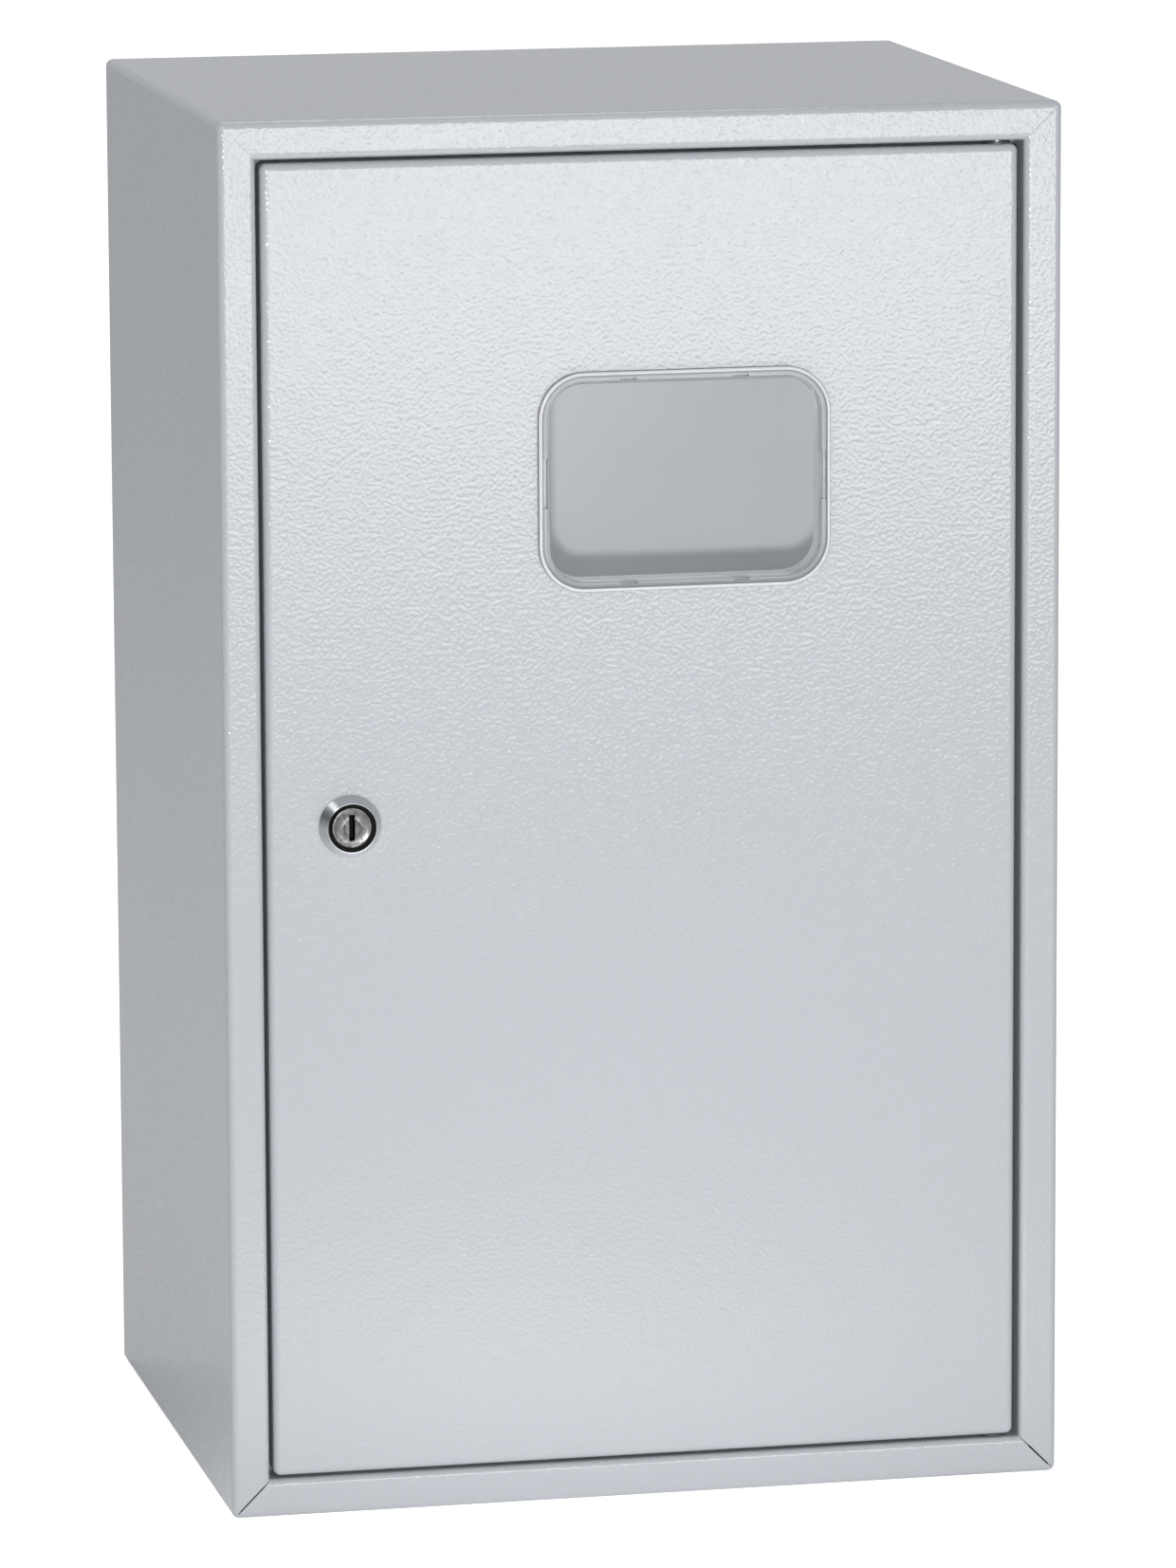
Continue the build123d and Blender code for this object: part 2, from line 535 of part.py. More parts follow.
# Cam lock: barrel, washer and nut stay with the door; plug, cam, washer and screw turn
lock_section = Plane((LOCK_X, -DEPTH, LOCK_Z), x_dir=(1, 0, 0), z_dir=(0, 0, 1))
lock_axis = Axis((LOCK_X, -DEPTH, LOCK_Z), (0, 1, 0))
plug_face = -ROSETTE_HEIGHT + PLUG_RECESS
plug_step = plug_face + PLUG_HEAD_LENGTH
with BuildPart() as lock_barrel:
    with BuildSketch(lock_section):
        with BuildLine():
            Polyline(
                (PLUG_RADIUS + PLUG_CLEARANCE, COLLAR_DEPTH - ROSETTE_HEIGHT),
                (COLLAR_RADIUS, COLLAR_DEPTH - ROSETTE_HEIGHT),
                (COLLAR_RADIUS, -ROSETTE_HEIGHT),
                (ROSETTE_TOP_RADIUS, -ROSETTE_HEIGHT),
                (ROSETTE_RADIUS, -ROSETTE_EDGE),
                (ROSETTE_RADIUS, 0),
                (LOCK_BODY_RADIUS, 0),
                (LOCK_BODY_RADIUS, LOCK_BODY_LENGTH),
                (PLUG_SHAFT_RADIUS + PLUG_CLEARANCE, LOCK_BODY_LENGTH),
                (PLUG_SHAFT_RADIUS + PLUG_CLEARANCE, plug_step + PLUG_CLEARANCE),
                (PLUG_RADIUS + PLUG_CLEARANCE, plug_step + PLUG_CLEARANCE),
                close=True,
            )
        make_face()
    revolve(axis=lock_axis)
    rosette_top = edges().filter_by(GeomType.CIRCLE).group_by(Axis.Y)[0].sort_by(SortBy.RADIUS)[-1]
    chamfer(rosette_top, ROSETTE_CHAMFER)
    with BuildSketch(behind_front(0)):
        with Locations((LOCK_X, LOCK_Z)):
            Circle(LOCK_BODY_RADIUS + HOLE_CLEARANCE)
            Rectangle(2 * (LOCK_BODY_RADIUS + HOLE_CLEARANCE), LOCK_FLATS, mode=Mode.SUBTRACT)
    extrude(amount=-LOCK_BODY_LENGTH, mode=Mode.SUBTRACT)
pieces["lock_barrel"] = lock_barrel

with BuildPart() as lock_washer:
    with BuildSketch(behind_front(SHEET)):
        with Locations((LOCK_X, LOCK_Z)):
            round_ring(LOCK_WASHER_RADIUS, LOCK_BODY_RADIUS + HOLE_CLEARANCE)
    extrude(amount=-LOCK_WASHER_THICKNESS)
pieces["lock_washer"] = lock_washer

with BuildPart() as lock_nut:
    with BuildSketch(behind_front(SHEET + LOCK_WASHER_THICKNESS)):
        with Locations((LOCK_X, LOCK_Z)):
            hexagon_ring(LOCK_NUT_ACROSS, LOCK_BODY_RADIUS + FIXED_CLEARANCE)
    extrude(amount=-LOCK_NUT_HEIGHT)
pieces["lock_nut"] = lock_nut

with BuildPart() as lock_plug:
    with BuildSketch(lock_section):
        with BuildLine():
            Polyline(
                (0, plug_face),
                (PLUG_RADIUS, plug_face),
                (PLUG_RADIUS, plug_step),
                (PLUG_SHAFT_RADIUS, plug_step),
                (PLUG_SHAFT_RADIUS, CAM_FRONT),
                (0, CAM_FRONT),
                close=True,
            )
        make_face()
    revolve(axis=lock_axis)
    with BuildSketch(behind_front(plug_face)):
        with Locations((LOCK_X, LOCK_Z)):
            Circle(KEY_GUIDE_RADIUS)
    extrude(amount=KEY_GUIDE_HEIGHT)
    with BuildSketch(behind_front(plug_face - KEY_GUIDE_HEIGHT)):
        with Locations((LOCK_X, LOCK_Z)):
            Rectangle(KEYWAY_WIDTH, KEYWAY_HEIGHT)
    extrude(amount=-(KEYWAY_DEPTH + KEY_GUIDE_HEIGHT), mode=Mode.SUBTRACT)
    with BuildSketch(behind_front(CAM_FRONT)):
        with Locations((LOCK_X, LOCK_Z)):
            Rectangle(CAM_SQUARE, CAM_SQUARE)
    extrude(amount=-(CAM_THICKNESS - PLUG_CLEARANCE))
    with BuildSketch(behind_front(CAM_FRONT + CAM_THICKNESS)):
        with Locations((LOCK_X, LOCK_Z)):
            Circle(CAM_SCREW_RADIUS + FIXED_CLEARANCE)
    extrude(amount=CAM_SCREW_DEPTH, mode=Mode.SUBTRACT)
pieces["lock_plug"] = lock_plug

with BuildPart() as lock_cam:
    with BuildSketch(behind_front(CAM_FRONT)):
        with Locations((LOCK_X, LOCK_Z)):
            Circle(CAM_HUB_RADIUS)
        with Locations((LOCK_X, LOCK_Z + CAM_REACH)):
            Circle(CAM_TIP_RADIUS)
        make_hull()
        with Locations((LOCK_X, LOCK_Z)):
            square_hole = CAM_SQUARE + 2 * FIXED_CLEARANCE
            Rectangle(square_hole, square_hole, mode=Mode.SUBTRACT)
    extrude(amount=-CAM_THICKNESS)
pieces["lock_cam"] = lock_cam

with BuildPart() as cam_washer:
    with BuildSketch(behind_front(CAM_FRONT + CAM_THICKNESS)):
        with Locations((LOCK_X, LOCK_Z)):
            round_ring(CAM_WASHER_RADIUS, CAM_SCREW_RADIUS + HOLE_CLEARANCE)
    extrude(amount=-CAM_WASHER_THICKNESS)
pieces["cam_washer"] = cam_washer

with BuildPart() as cam_screw:
    screw_seat = CAM_FRONT + CAM_THICKNESS + CAM_WASHER_THICKNESS
    with BuildSketch(behind_front(screw_seat)):
        with Locations((LOCK_X, LOCK_Z)):
            RegularPolygon(CAM_SCREW_ACROSS / 2, 6, major_radius=False)
    extrude(amount=-CAM_SCREW_HEAD)
    with BuildSketch(behind_front(screw_seat)):
        with Locations((LOCK_X, LOCK_Z)):
            Circle(CAM_SCREW_RADIUS)
    extrude(amount=CAM_WASHER_THICKNESS + CAM_THICKNESS / 2 + CAM_SCREW_DEPTH / 2)
pieces["cam_screw"] = cam_screw

os.makedirs("parts", exist_ok=True)
for name, piece in pieces.items():
    piece.part.label = name
    export_step(piece.part, f"parts/{name}.step")
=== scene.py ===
"""Looks of a wall-mounted sheet-steel electrical enclosure with a hinged door, a clear window and a cam lock.

Metres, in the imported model's frame: facing the door, +X is to the right, +Z up and +Y towards the wall.
"""

import logging
import math
from collections.abc import Callable
from dataclasses import dataclass
from enum import Enum

import bmesh
import bpy
from bpy.types import Material, Node, NodeSocket, NodeTree, Object
from mathutils import Matrix, Quaternion, Vector


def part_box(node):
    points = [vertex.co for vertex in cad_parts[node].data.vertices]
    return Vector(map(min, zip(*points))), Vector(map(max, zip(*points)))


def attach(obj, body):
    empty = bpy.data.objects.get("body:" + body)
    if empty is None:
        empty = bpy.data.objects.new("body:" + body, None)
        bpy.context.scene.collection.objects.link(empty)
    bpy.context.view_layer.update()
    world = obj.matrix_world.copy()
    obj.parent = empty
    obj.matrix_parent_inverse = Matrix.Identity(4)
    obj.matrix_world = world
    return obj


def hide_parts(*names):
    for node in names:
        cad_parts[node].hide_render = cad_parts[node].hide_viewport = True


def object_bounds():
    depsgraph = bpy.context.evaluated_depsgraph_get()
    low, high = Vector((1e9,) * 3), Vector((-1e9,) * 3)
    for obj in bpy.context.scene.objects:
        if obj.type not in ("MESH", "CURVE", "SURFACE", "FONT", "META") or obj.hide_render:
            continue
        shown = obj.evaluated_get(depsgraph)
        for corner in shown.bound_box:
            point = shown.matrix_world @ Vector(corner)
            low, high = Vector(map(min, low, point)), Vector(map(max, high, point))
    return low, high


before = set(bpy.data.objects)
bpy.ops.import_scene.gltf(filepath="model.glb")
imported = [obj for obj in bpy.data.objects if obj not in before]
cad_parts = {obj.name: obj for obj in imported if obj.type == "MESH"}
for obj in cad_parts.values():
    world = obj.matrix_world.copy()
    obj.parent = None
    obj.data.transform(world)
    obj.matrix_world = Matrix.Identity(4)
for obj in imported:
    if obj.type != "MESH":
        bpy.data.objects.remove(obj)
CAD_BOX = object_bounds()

log = logging.getLogger("enclosure")

MM = 0.001
FRONT_Y = -250 * MM
LOCK_AXIS = (-109.3 * MM, 0.0)
NEAR = 0.01 * MM
STEEP = 0.9
CREASE_DEG = 32.0
ORIGIN = (0.0, 0.0, 0.0)

Pair = tuple[float, float]
Triple = tuple[float, float, float]
Colour = Point = Triple
Profile = list[Pair]
Test = Callable[[Vector, Vector], bool]


class Body(Enum):
    """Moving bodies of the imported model."""

    HOUSING = "housing"
    DOOR = "door"
    LOCK = "lock"


class Slot(Enum):
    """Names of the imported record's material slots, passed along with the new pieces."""

    ZINC = "zinc_plate"
    CHROME = "lock_chrome"
    NICKEL = "lock_nickel"
    CLEAR = "clear_window"
    FOAM = "seal_foam"


class Facing(Enum):
    """Turn of a primitive that makes its face look a given way, and that way."""

    FRONT = ((math.pi / 2, 0.0, 0.0), (0.0, -1.0, 0.0))
    BACK = ((-math.pi / 2, 0.0, 0.0), (0.0, 1.0, 0.0))
    UP = ((0.0, 0.0, 0.0), (0.0, 0.0, 1.0))


class Blank:
    """A new piece that is shaped with edit-mode operators, outwards from a flat start."""

    def __init__(self, name: str, origin: Point, facing: Facing) -> None:
        """Takes the primitive that was just added and opens it for editing.

        Args:
            name: the piece's name.
            origin: the middle of the starting face.
            facing: the way that the starting face looks.
        """
        self.item = bpy.context.active_object
        self.item.name = self.item.data.name = name
        self.origin = Vector(origin)
        self.outward = Vector(facing.value[1])
        self.reach = 0.0
        self.edit()

    @classmethod
    def disc(
        cls, name: str, radius: float, origin: Point, facing: Facing, sides: int, filled: bool = True
    ) -> "Blank":
        """Starts from a disc or an open ring.

        Args:
            name: the piece's name.
            radius: the radius to the corners.
            origin: the middle of the disc.
            facing: the way that it looks.
            sides: the number of corners.
            filled: whether it has a face.

        Returns:
            The blank, with everything selected.
        """
        cls.clear_bench()
        fill = "NGON" if filled else "NOTHING"
        bpy.ops.mesh.primitive_circle_add(
            vertices=sides, radius=radius, fill_type=fill, location=origin, rotation=facing.value[0]
        )
        return cls(name, origin, facing)

    @classmethod
    def sheet(cls, name: str, size: Pair, origin: Point, facing: Facing, corner: float = 0.0) -> "Blank":
        """Starts from a rectangle, with rounded corners if a radius is given.

        Args:
            name: the piece's name.
            size: its width and height.
            origin: its middle.
            facing: the way that it looks.
            corner: the corners' radius.

        Returns:
            The blank, with everything selected.
        """
        cls.clear_bench()
        bpy.ops.mesh.primitive_plane_add(size=1.0, location=origin, rotation=facing.value[0])
        bpy.context.active_object.scale = (size[0], size[1], 1.0)
        blank = cls(name, origin, facing)
        if corner > 0.0:
            bpy.ops.mesh.bevel(offset=corner, segments=14, affect="VERTICES")
            bpy.ops.mesh.select_all(action="SELECT")
        return blank

    @staticmethod
    def clear_bench() -> None:
        """Leaves edit mode and deselects everything."""
        if bpy.context.mode != "OBJECT":
            bpy.ops.object.mode_set(mode="OBJECT")
        bpy.ops.object.select_all(action="DESELECT")

    def hold(self, *others: Object) -> None:
        """Selects the piece together with others, and makes it the active one."""
        bpy.ops.object.select_all(action="DESELECT")
        for item in (*others, self.item):
            item.select_set(True)
        bpy.context.view_layer.objects.active = self.item

    def edit(self) -> None:
        """Opens the piece in edit mode with everything selected."""
        self.clear_bench()
        self.hold()
        bpy.ops.object.transform_apply(location=True, rotation=True, scale=True)
        bpy.ops.object.mode_set(mode="EDIT")
        bpy.ops.mesh.select_mode(type="VERT")
        bpy.ops.mesh.select_all(action="SELECT")

    def close(self) -> None:
        """Leaves edit mode."""
        bpy.ops.object.mode_set(mode="OBJECT")

    def select_none(self, kind: str) -> bmesh.types.BMesh:
        """Switches to selecting faces or edges, deselects all and returns the mesh."""
        bpy.ops.mesh.select_mode(type=kind)
        bpy.ops.mesh.select_all(action="DESELECT")
        return bmesh.from_edit_mesh(self.item.data)

    def pick_faces(self, test: Test) -> None:
        """Selects the faces whose middle and normal pass a test."""
        for face in self.select_none("FACE").faces:
            face.select_set(test(face.calc_center_median(), face.normal))
        bmesh.update_edit_mesh(self.item.data)

    def pick_edges(self, test: Test) -> None:
        """Selects the edges whose two ends pass a test."""
        for edge in self.select_none("EDGE").edges:
            edge.select_set(test(edge.verts[0].co, edge.verts[1].co))
        bmesh.update_edit_mesh(self.item.data)

    def push(self, distance: float) -> None:
        """Extrudes the selection outwards."""
        bpy.ops.mesh.extrude_region_move(TRANSFORM_OT_translate={"value": self.outward * distance})
        self.reach += distance

    def swell(self, ratio: float) -> None:
        """Scales the selection about the piece's axis."""
        bpy.ops.transform.resize(value=(ratio,) * 3, center_override=self.origin + self.outward * self.reach)

    def step_in(self, width: float, rise: float = 0.0) -> None:
        """Insets the selected face, with a rise or fall of the inner part."""
        bpy.ops.mesh.inset(thickness=width, depth=rise)

    def turn(self, radius: float, profile: Profile) -> None:
        """Carries the selected ring along a turned profile.

        Args:
            radius: the ring's radius at the start.
            profile: radius and distance from the start, in order.
        """
        for next_radius, distance in profile:
            self.push(distance - self.reach)
            self.swell(next_radius / radius)
            radius = next_radius

    def round_over(self, radius: float, steps: int, rising: bool) -> None:
        """Insets along a quarter round, from a wall onto a crown or from a crown down to a wall.

        Args:
            radius: the round's radius.
            steps: the number of facets.
            rising: whether it goes from the wall up to the crown.
        """
        angles = [math.pi / 2 * step / steps for step in range(steps + 1)]
        for before, after in zip(angles, angles[1:]):
            sine = radius * (math.sin(after) - math.sin(before))
            cosine = radius * (math.cos(before) - math.cos(after))
            if rising:
                self.step_in(cosine, sine)
            else:
                self.step_in(sine, -cosine)

    def merge(self, others: list["Blank"]) -> None:
        """Joins other pieces to this one as separate shells."""
        self.close()
        self.hold(*(other.item for other in others))
        bpy.ops.object.join()
        self.edit()

    def carve(self, tool: "Blank", operation: str = "DIFFERENCE") -> None:
        """Cuts the piece with another one, which is used up, by a boolean operation."""
        tool.tidy()
        tool.close()
        self.edit()
        self.tidy()
        self.close()
        cutter = self.item.modifiers.new("carve", "BOOLEAN")
        cutter.operation, cutter.object, cutter.solver = operation, tool.item, "EXACT"
        bpy.ops.object.modifier_apply(modifier=cutter.name)
        bpy.data.objects.remove(tool.item)
        self.edit()

    def tidy(self) -> None:
        """Merges doubled corners and turns the faces outwards."""
        bpy.ops.mesh.select_all(action="SELECT")
        bpy.ops.mesh.remove_doubles(threshold=0.001 * MM)
        bpy.ops.mesh.normals_make_consistent(inside=False)

    def repeat(self, shifts: list[Point]) -> None:
        """Copies the piece to other places, each with its own mesh, and joins the copies to it."""
        self.tidy()
        self.close()
        first, *rest = [Vector(shift) for shift in shifts]
        copies = []
        for shift in rest:
            copy = self.item.copy()
            copy.data = self.item.data.copy()
            copy.data.transform(Matrix.Translation(shift))
            bpy.context.scene.collection.objects.link(copy)
            copies.append(copy)
        self.item.data.transform(Matrix.Translation(first))
        self.hold(*copies)
        bpy.ops.object.join()
        self.edit()

    def finish(self, material: Material, slot: Slot, body: Body, *nodes: str) -> None:
        """Closes the piece and hands it over.

        Args:
            material: its finish.
            slot: the record's slot that the finish belongs to; not used.
            body: the body that it rides on.
            nodes: the CAD nodes that it stands for.
        """
        self.tidy()
        self.close()
        self.hold()
        bpy.ops.object.shade_smooth_by_angle(angle=math.radians(CREASE_DEG))
        if not self.item.data.materials:
            self.item.data.materials.append(material)
        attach(self.item, body.value)
        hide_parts(*nodes)
        log.info("%s stands for %s", self.item.name, ", ".join(nodes))


@dataclass
class Bench:
    """A node tree with short calls for adding and joining nodes."""

    tree: NodeTree

    def add(self, kind: str, sockets: dict | None = None, **settings: object) -> Node:
        """Adds a node and sets or links its inputs.

        Args:
            kind: the node's type name, without the ShaderNode prefix.
            sockets: input name or index to a value or to another node's output socket.
            settings: attributes of the node.

        Returns:
            The new node.
        """
        node = self.tree.nodes.new(f"ShaderNode{kind}")
        for name, value in settings.items():
            setattr(node, name, value)
        for name, value in (sockets or {}).items():
            self.feed(node, name, value)
        return node

    def feed(self, node: Node, name: str | int, value: object) -> None:
        """Sets an input to a value, or links a socket to it."""
        if isinstance(value, NodeSocket):
            self.tree.links.new(value, node.inputs[name])
        else:
            node.inputs[name].default_value = value

    def math(self, operation: str, *values: object) -> NodeSocket:
        """Adds a Math node and returns its output."""
        return self.add("Math", dict(enumerate(values)), operation=operation).outputs[0]

    def spread(self, value: object, low: float, high: float) -> NodeSocket:
        """Maps a value of 0 to 1 onto a range and returns the output."""
        return self.add("MapRange", {"Value": value, "To Min": low, "To Max": high}).outputs[0]

    def blend(self, factor: object, first: Colour, second: Colour) -> NodeSocket:
        """Mixes two colours by a factor and returns the output."""
        return self.add("Mix", {0: factor, 6: (*first, 1.0), 7: (*second, 1.0)}, data_type="RGBA").outputs[2]


def effect_group(name: str, inputs: dict[str, float], outputs: tuple[str, ...]) -> tuple[Bench, dict, dict]:
    """Starts a shader node group that reads a position and some values.

    Args:
        name: the group's name.
        inputs: names of the value inputs with their defaults; Position is added to them.
        outputs: names of the value outputs.

    Returns:
        The group's bench, its input sockets and its output sockets, by name.
    """
    tree = bpy.data.node_groups.new(name, "ShaderNodeTree")
    tree.interface.new_socket("Position", in_out="INPUT", socket_type="NodeSocketVector")
    for key, value in inputs.items():
        tree.interface.new_socket(key, in_out="INPUT", socket_type="NodeSocketFloat").default_value = value
    for key in outputs:
        tree.interface.new_socket(key, in_out="OUTPUT", socket_type="NodeSocketFloat")
    enter = tree.nodes.new("NodeGroupInput")
    leave = tree.nodes.new("NodeGroupOutput")
    given = {socket.name: socket for socket in enter.outputs if socket.name}
    wanted = {socket.name: socket for socket in leave.inputs if socket.name}
    return Bench(tree), given, wanted


class Effects:
    """The node groups that several finishes share, each built once."""

    def __init__(self) -> None:
        """Builds the groups."""
        self.grain = self.build_grain()
        self.mottle = self.build_mottle()
        self.hairline = self.build_hairline()
        self.streaks = self.build_cone_reflection()

    @staticmethod
    def build_grain() -> NodeTree:
        """Leathery grain of a structured powder coat: rounded dimples between soft ridges."""
        bench, given, wanted = effect_group("coat_grain", {"Grain Size": 0.002, "Ridge": 0.5}, ("Height",))
        pitch = bench.math("DIVIDE", 1.0, given["Grain Size"])
        finer = bench.math("MULTIPLY", pitch, 1.9)
        spot = given["Position"]
        waves = {"Vector": spot, "Scale": pitch, "Detail": 0.5, "Roughness": 0.4, "Distortion": 0.2}
        soft = bench.add("TexNoise", waves)
        creases = bench.add("TexNoise", {"Vector": spot, "Scale": finer, "Detail": 1.0, "Roughness": 0.45})
        ridge = bench.math("ABSOLUTE", bench.math("SUBTRACT", creases.outputs[0], 0.5))
        height = bench.math("SUBTRACT", soft.outputs[0], bench.math("MULTIPLY", ridge, given["Ridge"]))
        bench.tree.links.new(height, wanted["Height"])
        return bench.tree

    @staticmethod
    def build_mottle() -> NodeTree:
        """Slow, cloudy variation over a surface, from 0 to 1."""
        bench, given, wanted = effect_group("slow_mottle", {"Cloud Size": 0.05, "Contrast": 1.0}, ("Mask",))
        pitch = bench.math("DIVIDE", 1.0, given["Cloud Size"])
        waves = {"Vector": given["Position"], "Scale": pitch, "Detail": 3.0, "Roughness": 0.55}
        cloud = bench.add("TexNoise", waves)
        scaled = bench.math("MULTIPLY", bench.math("SUBTRACT", cloud.outputs[0], 0.5), given["Contrast"])
        held = bench.add("Clamp", {"Value": bench.math("ADD", scaled, 0.5)})
        bench.tree.links.new(held.outputs[0], wanted["Mask"])
        return bench.tree

    @staticmethod
    def build_hairline() -> NodeTree:
        """Fine drawn lines of rolled or turned metal, along X."""
        bench, given, wanted = effect_group("drawn_lines", {}, ("Height",))
        line_width, stretch = 0.2 * MM, 30.0
        scale = (1 / line_width / stretch, 1 / line_width, 1 / line_width)
        drawn = bench.add("VectorMath", {0: given["Position"], 1: scale}, operation="MULTIPLY")
        waves = {"Vector": drawn.outputs[0], "Scale": 1.0, "Detail": 2.0, "Roughness": 0.6}
        lines = bench.add("TexNoise", waves)
        bench.tree.links.new(lines.outputs[0], wanted["Height"])
        return bench.tree

    @staticmethod
    def build_cone_reflection() -> NodeTree:
        """Painted reflection for the lock's turned cone: a painted bright streak beside a painted dark
        streak, and painted light on its lower side.
        """
        bench, given, wanted = effect_group("painted_cone_reflection", {}, ("Mask", "Highlight"))
        axis = (LOCK_AXIS[0], 0.0, LOCK_AXIS[1])
        spoke = bench.add("VectorMath", {0: given["Position"], 1: axis}, operation="SUBTRACT")
        flat = bench.add("VectorMath", {0: spoke.outputs[0], 1: (1.0, 0.0, 1.0)}, operation="MULTIPLY")
        unit = bench.add("VectorMath", {0: flat.outputs[0]}, operation="NORMALIZE")

        def lobe(angle_deg: float, sharpness: float) -> NodeSocket:
            """Returns 1 towards an angle round the axis, falling off to its sides."""
            towards = (math.cos(math.radians(angle_deg)), 0.0, math.sin(math.radians(angle_deg)))
            along = bench.add("VectorMath", {0: unit.outputs[0], 1: towards}, operation="DOT_PRODUCT")
            return bench.math("POWER", bench.math("MAXIMUM", along.outputs["Value"], 0.0), sharpness)

        # Painted highlight towards 130 degrees, painted dark streak towards 155 degrees, painted light
        # towards the bottom.
        painted_highlight = lobe(angle_deg=130.0, sharpness=180.0)
        shade = bench.math("MULTIPLY", lobe(angle_deg=155.0, sharpness=24.0), -0.5)
        foot = bench.math("MULTIPLY_ADD", lobe(angle_deg=-80.0, sharpness=1.0), 0.3, 0.5)
        mask = bench.add("Clamp", {"Value": bench.math("ADD", bench.math("ADD", foot, shade), painted_highlight)})
        bench.tree.links.new(mask.outputs[0], wanted["Mask"])
        bench.tree.links.new(painted_highlight, wanted["Highlight"])
        return bench.tree


class Recipe:
    """A material under construction, with calls for what the finishes have in common."""

    def __init__(self, name: str) -> None:
        """Makes an empty node material of a given name."""
        self.material = bpy.data.materials.new(name)
        self.material.use_nodes = True
        self.bench = Bench(self.material.node_tree)
        self.shader = self.material.node_tree.nodes["Principled BSDF"]
        self.position = self.bench.add("TexCoord").outputs["Object"]

    def effect(self, group: NodeTree, **values: float) -> NodeSocket:
        """Places a shared group.

        Args:
            group: the group.
            values: its inputs, with underscores for the blanks in their names.

        Returns:
            The group's first output.
        """
        node = self.bench.add("Group", node_tree=group)
        self.bench.feed(node, "Position", self.position)
        for name, value in values.items():
            self.bench.feed(node, name.replace("_", " "), value)
        return node.outputs[0]

    def set(self, **values: object) -> None:
        """Sets or links inputs of the shader, with underscores for the blanks in their names."""
        for name, value in values.items():
            self.bench.feed(self.shader, name.replace("_", " "), value)

    def bump(self, height: NodeSocket, depth: float) -> None:
        """Raises the surface by a height of 0 to 1 times a depth."""
        node = self.bench.add("Bump", {"Strength": 1.0, "Distance": depth, "Height": height})
        self.bench.feed(self.shader, "Normal", node.outputs[0])


@dataclass(frozen=True)
class PowderCoat:
    """Structured powder coat on sheet steel."""

    name: str = "grey_powder_coat"
    colour: Colour = (0.358, 0.371, 0.394)
    deep_colour: Colour = (0.348, 0.361, 0.383)
    roughness: Pair = (0.11, 0.14)
    grain_size: float = 1.35 * MM
    grain_height: float = 0.15 * MM
    gloss_index: float = 1.66

    def material(self, effects: Effects) -> Material:
        """Builds the material and returns it."""
        recipe = Recipe(self.name)
        clouds = recipe.effect(effects.mottle, Cloud_Size=0.12)
        grain = recipe.effect(effects.grain, Grain_Size=self.grain_size, Ridge=0.3)
        recipe.set(Base_Color=recipe.bench.blend(clouds, self.colour, self.deep_colour))
        recipe.set(Roughness=recipe.bench.spread(clouds, *self.roughness), IOR=self.gloss_index)
        recipe.bump(grain, self.grain_height)
        return recipe.material


@dataclass(frozen=True)
class PlatedMetal:
    """Plating on turned and pressed metal."""

    name: str
    colour: Colour
    dull_colour: Colour
    roughness: Pair
    line_height: float = 0.01 * MM
    cloud_size: float = 6 * MM

    def material(self, effects: Effects) -> Material:
        """Builds the material and returns it."""
        recipe = Recipe(self.name)
        clouds = recipe.effect(effects.mottle, Cloud_Size=self.cloud_size, Contrast=1.6)
        recipe.set(Base_Color=recipe.bench.blend(clouds, self.colour, self.dull_colour), Metallic=1.0)
        recipe.set(Roughness=recipe.bench.spread(clouds, *self.roughness))
        recipe.bump(recipe.effect(effects.hairline), self.line_height)
        return recipe.material


@dataclass(frozen=True)
class TurnedChrome:
    """Bright plating on a turned face, with a painted reflection in its colour: the highlight and dark
    sectors that it would mirror from all round.
    """

    name: str = "lock_chrome_plate"
    colour: Colour = (0.95, 0.96, 0.97)
    painted_dark_colour: Colour = (0.2, 0.205, 0.21)
    roughness: Pair = (0.06, 0.12)

    def material(self, effects: Effects) -> Material:
        """Builds the material and returns it."""
        recipe = Recipe(self.name)
        mask = recipe.effect(effects.streaks)
        clouds = recipe.effect(effects.mottle, Cloud_Size=3 * MM)
        # Colour carries the painted reflection; at the painted highlight the metal turns nearly non-metallic
        # so its bright colour shows.
        recipe.set(Base_Color=recipe.bench.blend(mask, self.painted_dark_colour, self.colour))
        recipe.set(Metallic=recipe.bench.spread(mask.node.outputs["Highlight"], 1.0, 0.1))
        recipe.set(Roughness=recipe.bench.spread(clouds, *self.roughness))
        return recipe.material


@dataclass(frozen=True)
class ClearPane:
    """Clear plastic in a flat pane, with a little haze."""

    name: str = "clear_pane"
    colour: Colour = (0.72, 0.76, 0.8)
    haze: Pair = (0.1, 0.14)
    roughness: float = 0.08

    def material(self, effects: Effects) -> Material:
        """Builds the material and returns it."""
        recipe = Recipe(self.name)
        clouds = recipe.effect(effects.mottle, Cloud_Size=0.04)
        recipe.set(Alpha=recipe.bench.spread(clouds, *self.haze), Roughness=self.roughness)
        recipe.set(Base_Color=(*self.colour, 1.0))
        return recipe.material


@dataclass(frozen=True)
class ClearRim:
    """The same plastic where it is thick and bends the light."""

    name: str = "clear_rim"
    colour: Colour = (0.9, 0.91, 0.92)
    clearness: float = 0.42
    roughness: Pair = (0.03, 0.07)
    bending_index: float = 1.5

    def material(self, effects: Effects) -> Material:
        """Builds the material and returns it."""
        recipe = Recipe(self.name)
        clouds = recipe.effect(effects.mottle, Cloud_Size=0.01)
        recipe.set(Base_Color=(*self.colour, 1.0), Transmission_Weight=self.clearness, IOR=self.bending_index)
        recipe.set(Roughness=recipe.bench.spread(clouds, *self.roughness))
        return recipe.material


